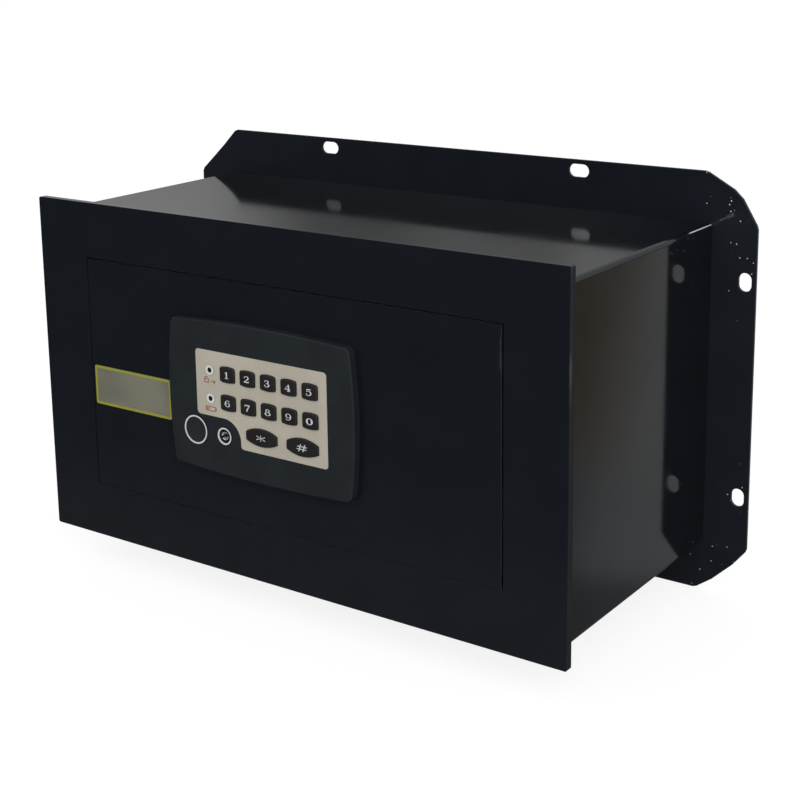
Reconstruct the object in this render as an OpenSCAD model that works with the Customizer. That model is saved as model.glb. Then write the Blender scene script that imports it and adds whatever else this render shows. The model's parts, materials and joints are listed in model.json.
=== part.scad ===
// Built-in wall safe with an electronic lock, modelled as the pieces it is assembled from.
// X runs to the right, Y from the front face to the wall behind, Z up. The origin is the
// centre of the flange pattern, in the plane of the flange's back face. Millimetres.

/* [Front plate] */
// Width of the front plate
plate_w = 420; // [400:1:520]
// Height of the front plate
plate_h = 240; // [230:1:320]
// Thickness of the front plate and of the door leaf
plate_t = 5; // [4:0.5:7]
// Corner radius of the front plate
plate_corner_r = 1.5; // [0.5:0.5:6]
// Steel left between the door opening and each side edge
frame_side = 43; // [43:1:60]
// Steel left between the door opening and the top or bottom edge
frame_top = 38; // [34:1:50]

/* [Body] */
// Depth from the face of the front plate to the back of the flange
safe_d = 200; // [180:1:320]
// Distance that the front plate stands out past the body at each side
plate_lap_side = 5; // [3:0.5:12]
// Distance that the front plate stands out past the body at top and bottom
plate_lap_top = 10; // [4:0.5:14]
// Thickness of the body sheet and of the back plate
wall_t = 2; // [1.5:0.5:4]
// Outside radius of the folded body corners
fold_r = 3; // [2.5:0.5:8]

/* [Rear flange] */
// Width of the flange at the sides
strip_side = 31; // [26:0.5:50]
// Width of the flange at top and bottom
strip_top = 34; // [28:0.5:50]
// Corner cut-off along the top or bottom edge
cut_x = 36; // [20:0.5:45]
// Corner cut-off along the side edge
cut_z = 34; // [20:0.5:45]
// How far the upper right corner bulges out past a straight cut-off
cut_bulge = 5.5; // [0:0.5:8]
// The same bulge at the lower right corner
cut_bulge_low = 2; // [0:0.5:8]
// How far the upper left corner lies inside a straight cut-off
cut_pinch = 0.5; // [0:0.5:4]
// Width of the fixing slots
slot_w = 9; // [6:0.5:12]
// Length of the slots above and below the body
top_slot_l = 15.5; // [12:0.5:20]
// Length of the slots beside the body
side_slot_l = 12.5; // [12:0.5:20]
// Distance from the flange edge to the middle of a slot
slot_edge = 7.5; // [6.5:0.5:14]
// Spacing of the two slots above or below the body
top_slot_gap = 213; // [120:1:300]
// Spacing of the two slots at one side
side_slot_gap = 147; // [80:1:200]
// How far the rounding of each cut-off's ends runs along the edges
cut_soft = 1.5; // [0.5:0.5:3]

/* [Door] */
// Gap around the door leaf
door_gap = 1.5; // [1:0.1:2]
// Thickness of the stop strips behind the opening
stop_t = 3; // [2:0.5:5]
// How far the stop strips reach into the opening
stop_lap = 4; // [2:0.5:5]
// Width of the stop strips
stop_w = 14; // [10:1:20]
// Depth of the lock cover behind the door leaf
cover_d = 39; // [38:0.5:60]
// Thickness of the lock cover sheet
cover_t = 1.2; // [0.8:0.1:2]
// Gap between the lock cover and the door edge at top, bottom and bolt side
cover_inset = 7; // [6.5:0.5:12]

/* [Hinge] */
// Distance of the hinge axis past the door's edge
axis_out = 15; // [13:0.5:17]
// Radius of the hinge pins
pin_r = 3; // [2.5:0.25:4]
// Steel around the pin in the hinge arm
hub_wall = 2.4; // [2:0.1:3]
// Thickness of a hinge arm
arm_t = 6; // [4:0.5:10]
// Width of the band that goes round the frame edge
arm_band = 8; // [6:0.5:12]
// Length of the foot that is welded to the door
arm_foot = 27; // [18:1:36]
// Height of each hinge arm above or below the middle of the door
arm_z = 52; // [35:1:56]
// Thickness of the bracket ears
ear_t = 4; // [3:0.5:6]

/* [Bolt work] */
// Radius of a locking bolt
bolt_r = 9; // [7:0.5:10]
// Distance from the middle of each bolt to the top or bottom edge of the door
bolt_edge = 35.5; // [34.5:0.5:42]
// Travel of the bolts
bolt_throw = 18; // [12:0.5:18]
// Thickness of the carriage plate
carriage_t = 3; // [2.5:0.5:4]
// Thickness of the bolt guide channel
guide_t = 2.5; // [2:0.5:4]
// Module of the gear teeth
gear_m = 1; // [1:0.1:1.2]
// Teeth on the motor pinion
pinion_teeth = 12; // [12:1:13]
// Teeth on the emergency lock's gear
override_teeth = 23; // [22:1:24]
// Radius of the guide studs
stud_r = 3; // [2.5:0.25:4]

/* [Keypad] */
// Middle of the keypad, to the right of the middle of the door
pad_x = -12; // [-16:0.5:0]
// Middle of the keypad, above the middle of the door
pad_z = 2.75; // [-4:0.25:6]
// Width of the keypad housing across its bulge
pad_w = 153; // [150:0.5:170]
// Height of the keypad housing across its bulge
pad_h = 104; // [100:0.5:116]
// How far the sides of the housing bulge
pad_bulge_x = 3; // [1:0.5:6]
// How far the top and bottom of the housing bulge
pad_bulge_z = 2.4; // [1:0.2:6]
// Corner radius of the housing
pad_corner_r = 5.5; // [4:0.5:14]
// How far the housing stands out from the door
pad_t = 6; // [6:0.5:10]
// Rounding of the housing's front edge
pad_edge = 1.2; // [0.6:0.2:2.4]
// Wall of the housing in front of the key board
pad_wall = 2.2; // [1.8:0.1:3]
// Width of a number key
key_w = 12.1; // [10:0.1:13.5]
// Height of a number key
key_h = 10.6; // [9:0.1:13]
// Width of a wide key
wide_key_w = 25.2; // [20:0.1:27]
// Height of a wide key
wide_key_h = 11.7; // [9:0.1:12.5]
// Spacing of the keys in a row
key_pitch = 16.8; // [15:0.1:17]
// Spacing of the two rows of number keys
row_pitch = 19; // [16:0.1:19.5]
// How far the keys stand out from the label
key_proud = 1.4; // [1.1:0.1:2]
// Gap around a key
key_gap = 0.25; // [0.15:0.05:0.4]
// Thickness of the label
label_t = 0.4; // [0.2:0.1:0.8]
// Radius of an indicator lamp
led_r = 1.7; // [1:0.1:1.8]
// Outside radius of the white ring round an indicator lamp
led_ring_r = 3.6; // [2.5:0.1:4]

/* [Emergency lock and power socket] */
// Radius of the lock barrel
lock_r = 8; // [7.5:0.1:8.2]
// Radius of the lock plug
plug_r = 5.5; // [4.5:0.1:6]
// Inside radius of the white ring round the lock cap
cap_ring_in = 8.8; // [8.6:0.1:9.2]
// Outside radius of the white ring round the lock cap
cap_ring_out = 10.1; // [10:0.1:11]
// Inside radius of the white ring round the power socket
jack_ring_in = 4.8; // [4.7:0.1:5]
// Outside radius of the white ring round the power socket
jack_ring_out = 6.1; // [5.8:0.1:6.6]
// Radius of the socket barrel
jack_r = 4.5; // [4:0.1:4.6]
// Radius of the hole in the socket
jack_hole_r = 3; // [2.4:0.1:3.2]

/* [Badge] */
// Width of the bare plate beside the keypad
badge_w = 71; // [40:0.5:72]
// Height of the bare plate
badge_h = 27.8; // [16:0.2:40]
// Thickness of the bare plate
badge_t = 0.6; // [0.3:0.1:1.2]
// Middle of the plate, to the left of the middle of the door
badge_x = 127.7; // [122:0.1:130]
// Middle of the plate, below the middle of the door
badge_z = 7.8; // [-20:0.1:20]

/* [Batteries] */
// Radius of a battery
cell_r = 7.1; // [6.8:0.1:7.2]
// Length of a battery
cell_l = 50; // [48:0.5:51]
// Number of batteries
cell_count = 4; // [2:1:4]

/* [Hidden] */
$fn = 64;

// Small working clearances
fit = 0.05;
slide_gap = 0.3;
cut = 1;

// Planes across the safe, measured from the back of the flange
y_face = -safe_d;
y_plate = y_face + plate_t;

// Body and flange
body_w = plate_w - 2 * plate_lap_side;
body_h = plate_h - 2 * plate_lap_top;
flange_w = body_w + 2 * strip_side;
flange_h = body_h + 2 * strip_top;

// Door opening and leaf
open_w = plate_w - 2 * frame_side;
open_h = plate_h - 2 * frame_top;
door_w = open_w - 2 * door_gap;
door_h = open_h - 2 * door_gap;
door_l = -door_w / 2;
door_r = door_w / 2;

// Hinge: the pin stands behind the frame, clear of the plate by hub_gap
hub_gap = 0.6;
hub_r = pin_r + hub_wall;
axis_in = plate_t + hub_r + hub_gap;
axis_x = door_r + axis_out;
axis_y = y_face + axis_in;
// Circle round the axis that the frame's front edge reaches, and the one that the door keeps to
frame_reach = sqrt(pow(axis_out - door_gap, 2) + pow(axis_in, 2));
swing_gap = 0.6;
swing_r = frame_reach + swing_gap;
leaf_bevel = max(0.5, sqrt(pow(swing_r, 2) - pow(axis_in - plate_t, 2)) - axis_out);
ear_gap = 0.4;
pin_head_r = pin_r + 1.5;
pin_head_t = 1.5;
web_out = hub_r + 6;

// Lock cover
cover_l = door_l + cover_inset - 1;
cover_r = axis_x - swing_r - arm_foot - 7;
cover_top = door_h / 2 - cover_inset - 1.5;
y_cover = y_plate + cover_d;
y_cover_in = y_cover - cover_t;

// Bolts
bolt_z = door_h / 2 - bolt_edge;
guide_l = cover_l + cover_t + slide_gap;
guide_w = 24;
guide_h = 2 * (bolt_z + bolt_r + 5);
guide_d = 26;
bolt_y = y_plate + guide_t + 2 + bolt_r;
bolt_tip = cover_l - 1;
carriage_x = guide_l + guide_w + bolt_throw + 9;
bolt_l = carriage_x - bolt_tip;
web_front = bolt_y - carriage_t / 2;
web_back = bolt_y + carriage_t / 2;
flange_z = bolt_z + bolt_r + 2;

// Gears and racks
pressure = 25;
tooth_thin = 0.05;
addendum = gear_m;
dedendum = 1.25 * gear_m;
tooth_pitch = PI * gear_m;
pinion_r = gear_m * pinion_teeth / 2;
override_r = gear_m * override_teeth / 2;
motor_shaft_r = 1.5;

// Places on the keypad, from the middle of the housing
lock_x = pad_x - 53.6;
lock_z = pad_z - 24.4;
jack_x = pad_x - 28.7;
jack_z = pad_z - 24.6;
first_key_x = pad_x - 24.3;
first_key_z = pad_z + 17.5;
wide_key_z = pad_z - 20;
star_x = pad_x + 2.9;
hash_x = pad_x + 36.2;
lamp_x = pad_x - 39.7;
lamp_z = [pad_z + 18.5, pad_z - 0.7];
label_l = -51.6;
label_r = 55.9;
label_top = 31.7;
label_bottom = -31;
label_step_z = -12.6;
label_step_x = -14.9;
label_sweep_r = 14;
label_corner_r = 2.5;

// Planes through the keypad
y_pad = y_face - pad_t;
y_pocket = y_pad + pad_wall;
board_t = 1.2;
y_board = y_face - board_t;
key_lip = 0.8;
key_lip_w = 0.7;
key_corner_r = 2;
y_key = y_pad - key_proud;
// Share of a key's height that its arched top takes
key_arch = 0.07;
wide_key_arch = 0.27;

// Rings let into the housing round the lock cap and the socket
ring_proud = 0.4;
cap_depth = 2.6;
socket_ring_depth = 1.4;

// Emergency lock: the plug's tail runs through the barrel and carries the cam
y_barrel = y_pad + cap_depth + 0.2;
plug_l = 14;
tail_r = 2;
cam_seat_r = 1.5;
cam_t = 2;
cam_gap = 0.3;
cam_w = 2.4;
spindle_r = 4;
lug_r = 1.2;
lug_orbit = 7.5;
lug_l = 2.4;
cam_reach = lug_orbit + lug_r;
// Angles at rest, counted from the right towards the top: with the bolts out, the lug
// stands just before the cam's finger
lug_angle = 180;
cam_play = 26;
cam_angle = lug_angle + bolt_throw / override_r * 180 / PI + cam_play;

// Racks on the carriage
override_rack_z = lock_z + override_r;
pinion_x = lock_x + 5.6;
web_above = 28.15;
web_top = flange_z - 2;
pinion_z = web_top - web_above;
pinion_rack_z = pinion_z - pinion_r;
window_top = pinion_z + pinion_r + addendum + 1.5;
window_l = pinion_x - pinion_r - addendum - 2;
window_r = pinion_x + bolt_throw + pinion_r + addendum + 2;
web_r = window_r + 24;
stud_base_r = 5;
stud_head_r = 5.5;
stud_head_t = 1;
stud_head_gap = 0.2;
studs = [[carriage_x + 14, pinion_z + 12], [pinion_x + 26, pinion_z + 20],
    [carriage_x + 14, override_rack_z + 13]];
bolt_head_r = 4;
bolt_head_t = 3;
bolt_screw_r = 2;
bolt_screw_l = 12;
bolt_tap_l = bolt_screw_l + 2;

// Motor bracket and motor
bracket_t = 2;
y_bracket = web_back + stud_head_gap + stud_head_t + 0.3;
motor_box = [28, 16.5, 24];
bracket_l = pinion_x - motor_box[0] / 2 - 1;
bracket_r = web_r + 6;
bracket_top = web_top + 5;
bracket_low = pinion_z - motor_box[2] / 2;
motor_can_r = 8;
motor_can_l = 30;

// Control board
control_l = bracket_r + 6;
control_w = 52;
control_z = [pad_z - 12.75, pad_z + 52.25];
control_y = y_plate + 7;
control_t = 1.6;
// Connectors on the board: the motor's, the supply's and the one for the ribbon
plug_w = 14;
plug_h = 6;
motor_plug_x = 6;
supply_plug_x = 32;
ribbon_plug_x = 40;
ribbon_plug_w = 10;
ribbon_plug_z = 0.5;
board_rim = 4;
standoff_r = 2.5;
post_r = 4;
post_edge_l = 6;
post_edge_r = 10;
post_places = [for (s = [1, -1]) for (p = [[carriage_x - 3, cover_top - post_edge_l],
    [cover_r - post_edge_r, cover_top - post_edge_r]]) [p[0], s * p[1]]];

// Battery box
cell_pitch = 2 * cell_r + 0.8;
holder_w = cell_l + 11;
holder_h = cell_count * cell_pitch + 4;
holder_d = 2 * cell_r + 3.4;
holder_x = cover_r - 6 - holder_w / 2;
lid_w = holder_w - 2;
lid_h = holder_h - 2;
lid_t = 1.6;
lid_gap = 0.4;
lid_pin_r = 1;
lid_ear_t = 2.5;
lid_ear_r = 2.4;
lid_axis_y = y_cover + lid_ear_r - 0.6;
lid_axis_z = lid_h / 2 + 1.6;

// Reset button
reset_x = holder_x + 12;
reset_z = holder_h / 2 + 16;
reset_r = 3;
reset_switch_w = 12;
y_switch_back = y_cover_in - 8;

// Housing screws and cable hole
screw_r = 1.9;
screw_places = [for (sx = [-1, 1], sz = [-1, 1])
    [pad_x + sx * (pad_w / 2 - 8), pad_z + sz * (pad_h / 2 - 8)]];
cable_x = pad_x + 62;
cable_z = pad_z - 20;

// Extrude a shape drawn in X and Z between two planes across the safe
module slab(y_front, y_back) {
    translate([0, y_back, 0])
        rotate([90, 0, 0])
            linear_extrude(y_back - y_front)
                children();
}

// Round bar along Y
module rod_y(x, z, r, y_front, y_back) {
    translate([x, y_back, z])
        rotate([90, 0, 0])
            cylinder(h = y_back - y_front, r = r);
}

// Round bar along X
module rod_x(x_from, x_to, y, z, r) {
    translate([x_from, y, z])
        rotate([0, 90, 0])
            cylinder(h = x_to - x_from, r = r);
}

// Rectangle centred on the origin with round corners
module round_rect(w, h, r) {
    square([w, h - 2 * r], center = true);
    square([w - 2 * r, h], center = true);
    for (sx = [-1, 1], sz = [-1, 1])
        translate([sx * (w / 2 - r), sz * (h / 2 - r)])
            circle(r = r);
}

// Straight slot centred on the origin, along X or along Z
module slot_shape(length, width, upright = false) {
    rotate(upright ? 90 : 0) {
        square([length - width, width], center = true);
        for (s = [-1, 1])
            translate([s * (length - width) / 2, 0])
                circle(d = width);
    }
}

// Outline whose four sides are arcs and whose corners are rounded
function arc_points(cx, cz, r, a0, a1, n) =
    [for (i = [0:n]) [cx + r * cos(a0 + (a1 - a0) * i / n), cz + r * sin(a0 + (a1 - a0) * i / n)]];

function barrel_points(w, h, bulge_x, bulge_z, r) =
    let (
        rx = (pow(h / 2 - r, 2) + pow(bulge_x, 2)) / (2 * bulge_x),
        rz = (pow(w / 2 - r, 2) + pow(bulge_z, 2)) / (2 * bulge_z),
        ax = asin((h / 2 - r) / rx),
        az = asin((w / 2 - r) / rz),
        cx = w / 2 - bulge_x - r,
        cz = h / 2 - bulge_z - r
    )
    concat(
        arc_points(w / 2 - rx, 0, rx, -ax, ax, 10),
        arc_points(cx, cz, r, 15, 75, 5),
        arc_points(0, h / 2 - rz, rz, 90 - az, 90 + az, 10),
        arc_points(-cx, cz, r, 105, 165, 5),
        arc_points(-w / 2 + rx, 0, rx, 180 - ax, 180 + ax, 10),
        arc_points(-cx, -cz, r, 195, 255, 5),
        arc_points(0, -h / 2 + rz, rz, 270 - az, 270 + az, 10),
        arc_points(cx, -cz, r, 285, 345, 5)
    );

// Involute tooth: half of its angle at radius r
function involute(r, base_r) = let (a = acos(base_r / r)) tan(a) * 180 / PI - a;

function tooth_half(r, teeth) =
    let (
        pitch_r = gear_m * teeth / 2,
        base_r = pitch_r * cos(pressure),
        at_r = max(r, base_r)
    )
    90 / teeth - tooth_thin / pitch_r * 180 / PI + involute(pitch_r, base_r) - involute(at_r, base_r);

// Outline of a spur gear with one tooth centred on the +X direction
function gear_points(teeth) =
    let (
        pitch_r = gear_m * teeth / 2,
        root_r = pitch_r - dedendum,
        base_r = pitch_r * cos(pressure),
        low_r = max(root_r, base_r),
        tip_r = pitch_r + addendum,
        steps = 5,
        radii = concat([root_r], [for (i = [0:steps]) low_r + (tip_r - low_r) * i / steps])
    )
    [for (t = [0:teeth - 1])
        let (mid = t * 360 / teeth)
        for (p = concat(
            [for (r = radii) [r, mid - tooth_half(r, teeth)]],
            [for (i = [len(radii) - 1:-1:0]) [radii[i], mid + tooth_half(radii[i], teeth)]]))
            [p[0] * cos(p[1]), p[0] * sin(p[1])]];

// Rack teeth that point down, cut into a line at height z, with a space centred at x
module rack_teeth(x, x_from, x_to, z, up = false) {
    lean = tan(pressure);
    half_root = tooth_pitch / 4 - tooth_thin + dedendum * lean;
    half_tip = tooth_pitch / 4 - tooth_thin - addendum * lean;
    dir = up ? 1 : -1;
    first = ceil((x_from - x) / tooth_pitch - 0.5);
    last = floor((x_to - x) / tooth_pitch - 0.5);
    for (i = [first:last])
        translate([x + (i + 0.5) * tooth_pitch, z])
            polygon([[-half_root, -dir * dedendum], [half_root, -dir * dedendum],
                [half_tip, dir * addendum], [-half_tip, dir * addendum]]);
}

// Flange outline: each corner is cut off along a line that bends at the given shares of its
// length, and stands out by out between the bends
function corner_points(sx, sz, out, bends) =
    let (
        x = flange_w / 2,
        z = flange_h / 2,
        chord = norm([cut_x, cut_z]),
        soft = cut_soft / chord,
        first = len(bends) > 0 ? bends[0] : 1,
        last = len(bends) > 0 ? bends[len(bends) - 1] : 0
    )
    concat(
        [[sx * (x - cut_x - cut_soft), sz * z]],
        [for (t = concat([soft], bends, [1 - soft]))
            let (push = out / chord * min(1, t / first, (1 - t) / (1 - last)))
            [sx * (x - cut_x * (1 - t) + push * cut_z), sz * (z - cut_z * t + push * cut_x)]],
        [[sx * x, sz * (z - cut_z - cut_soft)]]
    );

function reversed(list) = [for (i = [len(list) - 1:-1:0]) list[i]];

module flange_shape() {
    polygon(concat(
        corner_points(1, 1, cut_bulge, [0.43, 0.6]),
        reversed(corner_points(1, -1, cut_bulge_low, [0.3, 0.7])),
        corner_points(-1, -1, 0, []),
        reversed(corner_points(-1, 1, -cut_pinch, [0.37]))));
}

module flange_slots() {
    for (sx = [-1, 1], sz = [-1, 1]) {
        translate([sx * top_slot_gap / 2, sz * (flange_h / 2 - slot_edge)])
            slot_shape(top_slot_l, slot_w);
        translate([sx * (flange_w / 2 - slot_edge), sz * side_slot_gap / 2])
            slot_shape(side_slot_l, slot_w, upright = true);
    }
}

// Folded sheet that forms the four walls, between the front plate and the back plate
module body_shell() {
    color([0.07, 0.08, 0.1])
        slab(y_plate, -wall_t)
            difference() {
                round_rect(body_w, body_h, fold_r);
                round_rect(body_w - 2 * wall_t, body_h - 2 * wall_t, fold_r - wall_t);
            }
}

// Back plate, whose rim stands out past the body all round as the fixing flange
module back_panel() {
    color([0.08, 0.09, 0.11])
        slab(-wall_t, 0)
            difference() {
                flange_shape();
                flange_slots();
            }
}

module front_plate() {
    color([0.06, 0.07, 0.1])
        slab(y_face, y_plate)
            difference() {
                round_rect(plate_w, plate_h, plate_corner_r);
                square([open_w, open_h], center = true);
            }
}

// Flat bars behind the opening that the closed door rests against
module door_stops() {
    bar_l = cover_r - cover_l;
    color([0.1, 0.1, 0.12]) {
        for (s = [-1, 1])
            translate([(cover_l + cover_r) / 2, 0, s * (open_h / 2 - stop_lap + stop_w / 2)])
                slab(y_plate, y_plate + stop_t)
                    square([bar_l, stop_w], center = true);
        translate([-open_w / 2 + stop_lap - stop_w / 2, 0, 0])
            slab(y_plate, y_plate + stop_t)
                square([stop_w, open_h - 2 * stop_lap - 2 * slide_gap], center = true);
    }
}

// Plan shape in X and Y, given from the hinge axis and extruded about height z
module at_axis(z, t) {
    translate([axis_x, axis_y, z - t / 2])
        linear_extrude(t)
            children();
}

module hinge_brackets() {
    ear_h = 2 * ear_t + arm_t + 2 * ear_gap;
    back = hub_r + 2.5;
    color([0.12, 0.12, 0.14])
        for (s = [-1, 1])
            difference() {
                at_axis(s * arm_z, ear_h)
                    union() {
                        translate([-hub_r, plate_t - axis_in])
                            square([hub_r + web_out, axis_in - plate_t + back - 2]);
                        translate([-hub_r + 2, plate_t - axis_in])
                            square([hub_r + web_out - 2, axis_in - plate_t + back]);
                        translate([-hub_r + 2, back - 2])
                            circle(r = 2);
                    }
                translate([axis_x - hub_r - cut, y_plate - cut, s * arm_z - arm_t / 2 - ear_gap])
                    cube([hub_r + cut + web_out - ear_t, axis_in + back + 2 * cut, arm_t + 2 * ear_gap]);
                translate([axis_x, axis_y, s * arm_z - ear_h])
                    cylinder(h = 2 * ear_h, r = pin_r + fit);
            }
}

module hinge_pins() {
    pin_h = 2 * ear_t + arm_t + 2 * ear_gap;
    color([0.7, 0.7, 0.72])
        for (s = [-1, 1])
            translate([axis_x, axis_y, s * arm_z - pin_h / 2]) {
                cylinder(h = pin_h + pin_head_t, r = pin_r);
                translate([0, 0, pin_h])
                    cylinder(h = pin_head_t, r = pin_head_r);
                translate([0, 0, -pin_head_t])
                    cylinder(h = pin_head_t, r = pin_head_r);
            }
}

// Gooseneck: hub on the pin, neck going in, band round the frame's edge, foot on the door
module arm_shape() {
    out_r = swing_r + arm_band;
    neck_l = hub_r * 0.45;
    foot_back = plate_t - axis_in;
    difference() {
        union() {
            circle(r = hub_r);
            translate([-neck_l, 0])
                square([neck_l + hub_r, swing_r]);
            intersection() {
                circle(r = out_r, $fn = 128);
                translate([-out_r, 0])
                    square([out_r + hub_r, out_r]);
            }
            translate([-swing_r - arm_foot, foot_back])
                square([arm_foot, arm_band - foot_back]);
        }
        intersection() {
            circle(r = swing_r + 0.2, $fn = 128);
            translate([-2 * out_r - neck_l, -out_r])
                square([2 * out_r, 2 * out_r]);
        }
        circle(r = pin_r + fit);
    }
    difference() {
        circle(r = hub_r);
        circle(r = pin_r + fit);
    }
}

module hinge_arms() {
    color([0.16, 0.16, 0.18])
        for (s = [-1, 1])
            at_axis(s * arm_z, arm_t)
                arm_shape();
}

module door_leaf() {
    color([0.06, 0.07, 0.1])
        difference() {
            translate([0, 0, -door_h / 2])
                linear_extrude(door_h)
                    polygon([[door_l, y_face], [door_r, y_face],
                        [door_r - leaf_bevel, y_plate], [door_l, y_plate]]);
            rod_y(lock_x, lock_z, lock_r + slide_gap, y_face - cut, y_plate + cut);
            rod_y(jack_x, jack_z, jack_r + slide_gap, y_face - cut, y_plate + cut);
            translate([cable_x, 0, cable_z])
                slab(y_face - cut, y_plate + cut)
                    slot_shape(12, 6);
            for (p = screw_places)
                rod_y(p[0], p[1], screw_r + 0.2, y_face - cut, y_plate + cut);
        }
}

// Folded channel that carries the two bolts
module bolt_guide() {
    color([0.55, 0.56, 0.58])
        difference() {
            translate([guide_l, y_plate, -guide_h / 2])
                cube([guide_w, guide_d, guide_h]);
            translate([guide_l + guide_t, y_plate + guide_t, -guide_h / 2 - cut])
                cube([guide_w - 2 * guide_t, guide_d, guide_h + 2 * cut]);
            for (s = [-1, 1])
                rod_x(guide_l - cut, guide_l + guide_w + cut, bolt_y, s * bolt_z, bolt_r + fit);
        }
}

module guide_studs() {
    color([0.7, 0.7, 0.72])
        for (p = studs) {
            rod_y(p[0], p[1], stud_base_r, y_plate, web_front - slide_gap);
            rod_y(p[0], p[1], stud_r, y_plate, web_back + stud_head_gap + stud_head_t);
            rod_y(p[0], p[1], stud_head_r, web_back + stud_head_gap,
                web_back + stud_head_gap + stud_head_t);
        }
}

module cover_posts() {
    color([0.6, 0.6, 0.62])
        for (p = post_places)
            difference() {
                rod_y(p[0], p[1], post_r, y_plate, y_cover_in);
                rod_y(p[0], p[1], screw_r + fit, y_cover_in - 10, y_cover_in + cut);
            }
}

// Folded pan over the lock works
module lock_cover() {
    cover_w = cover_r - cover_l;
    mid_x = (cover_r + cover_l) / 2;
    color([0.13, 0.13, 0.15])
        difference() {
            union() {
                difference() {
                    translate([mid_x, 0, 0])
                        slab(y_plate, y_cover)
                            round_rect(cover_w, 2 * cover_top, 2);
                    translate([mid_x, 0, 0])
                        slab(y_plate - cut, y_cover_in)
                            round_rect(cover_w - 2 * cover_t, 2 * cover_top - 2 * cover_t, 1);
                }
                for (s = [-1, 1])
                    translate([holder_x + s * (lid_w / 2 + 2 * lid_gap + lid_ear_t / 2), 0, lid_axis_z])
                        difference() {
                            union() {
                                rod_x(-lid_ear_t / 2, lid_ear_t / 2, lid_axis_y, 0, lid_ear_r);
                                translate([-lid_ear_t / 2, y_cover_in, -lid_ear_r])
                                    cube([lid_ear_t, lid_axis_y - y_cover_in, 2 * lid_ear_r]);
                            }
                            rod_x(-lid_ear_t, lid_ear_t, lid_axis_y, 0, lid_pin_r + fit);
                        }
            }
            for (s = [-1, 1])
                rod_x(cover_l - cut, cover_l + cover_t + cut, bolt_y, s * bolt_z, bolt_r + 0.6);
            translate([holder_x, 0, 0])
                slab(y_cover_in - cut, y_cover + cut)
                    square([lid_w + 2 * lid_gap, lid_h + 2 * lid_gap], center = true);
            rod_y(reset_x, reset_z, reset_r + 0.5, y_cover_in - cut, y_cover + cut);
            for (p = post_places)
                rod_y(p[0], p[1], screw_r + 0.2, y_cover_in - cut, y_cover + cut);
        }
}

module cover_screws() {
    color([0.75, 0.75, 0.77])
        for (p = post_places)
            difference() {
                union() {
                    rod_y(p[0], p[1], screw_r, y_cover_in - 8, y_cover + cut);
                    rod_y(p[0], p[1], 2 * screw_r, y_cover, y_cover + 1.6);
                }
                for (a = [0, 90])
                    translate([p[0], y_cover + 1.6, p[1]])
                        rotate([0, a, 0])
                            cube([3.6, 1.6, 0.8], center = true);
            }
}

module pad_slice(inset, y_front, y_back) {
    translate([pad_x, 0, pad_z])
        slab(y_front, y_back)
            polygon(barrel_points(pad_w - 2 * inset, pad_h - 2 * inset, pad_bulge_x, pad_bulge_z,
                pad_corner_r - inset));
}

// Key outline with an arched top and bottom, drawn from the key's own centre
module key_shape(w, h, arch, grow = 0) {
    bulge_z = h * arch;
    top_r = (pow(w / 2, 2) + pow(bulge_z, 2)) / (2 * bulge_z);
    intersection() {
        round_rect(w + 2 * grow, h + 2 * grow, key_corner_r + grow);
        translate([0, h / 2 - top_r])
            circle(r = top_r + grow, $fn = 240);
        translate([0, top_r - h / 2])
            circle(r = top_r + grow, $fn = 240);
    }
}

function key_place(i) = [first_key_x + (i % 5) * key_pitch, first_key_z - floor(i / 5) * row_pitch];

module every_key_shape(grow) {
    for (i = [0:9])
        translate(key_place(i))
            key_shape(key_w, key_h, key_arch, grow);
    for (x = [star_x, hash_x])
        translate([x, wide_key_z])
            key_shape(wide_key_w, wide_key_h, wide_key_arch, grow);
}

// Label outline: a rectangle whose lower left part gives way to the lock and the socket
module label_shape(grow = 0) {
    upper_h = label_top - label_step_z;
    right_w = label_r - label_step_x;
    translate([pad_x, pad_z]) {
        translate([(label_l + label_r) / 2, (label_top + label_step_z) / 2])
            round_rect(label_r - label_l + 2 * grow, upper_h + 2 * grow, label_corner_r);
        translate([(label_step_x + label_r) / 2, (label_top + label_bottom) / 2])
            round_rect(right_w + 2 * grow, label_top - label_bottom + 2 * grow, label_corner_r);
        difference() {
            translate([label_step_x - label_sweep_r, label_step_z - label_sweep_r])
                square(label_sweep_r + 1);
            translate([label_step_x - label_sweep_r - grow, label_step_z - label_sweep_r - grow])
                circle(r = label_sweep_r);
        }
    }
}

// Space behind the keys for the board: it stops short of the lock and the socket
module pocket_shape(inset = 0) {
    translate([pad_x, pad_z]) {
        translate([(label_l + label_r) / 2, (label_top + label_step_z) / 2])
            square([label_r - label_l - 2 * inset, label_top - label_step_z - 2 * inset], center = true);
        translate([(label_step_x + label_r) / 2, (label_top + label_bottom) / 2])
            square([label_r - label_step_x - 2 * inset, label_top - label_bottom - 2 * inset],
                center = true);
    }
}

module keypad_housing() {
    color([0.13, 0.15, 0.16])
        difference() {
            hull() {
                for (a = [0, 30, 60, 90])
                    pad_slice(pad_edge * (1 - cos(a)), y_pad + pad_edge * (1 - sin(a)), y_face);
            }
            slab(y_pad - cut, y_pad + label_t)
                label_shape(fit);
            slab(y_pocket, y_face + cut)
                pocket_shape();
            slab(y_pad - cut, y_pocket + cut)
                every_key_shape(key_gap);
            for (z = lamp_z)
                rod_y(lamp_x, z, led_r + fit, y_pad - cut, y_pocket + cut);
            rod_y(lock_x, lock_z, lock_r + slide_gap, y_pad - cut, y_face + cut);
            rod_y(lock_x, lock_z, cap_ring_out + fit, y_pad - cut, y_pad + cap_depth);
            rod_y(jack_x, jack_z, jack_r + slide_gap, y_pad - cut, y_face + cut);
            rod_y(jack_x, jack_z, jack_ring_out + fit, y_pad - cut, y_pad + socket_ring_depth);
            for (p = screw_places)
                rod_y(p[0], p[1], screw_r + fit, y_face - 4, y_face + cut);
            translate([cable_x - 22, 0, cable_z])
                slab(y_face - 1.5, y_face + cut)
                    square([50, 6], center = true);
        }
}

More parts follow.
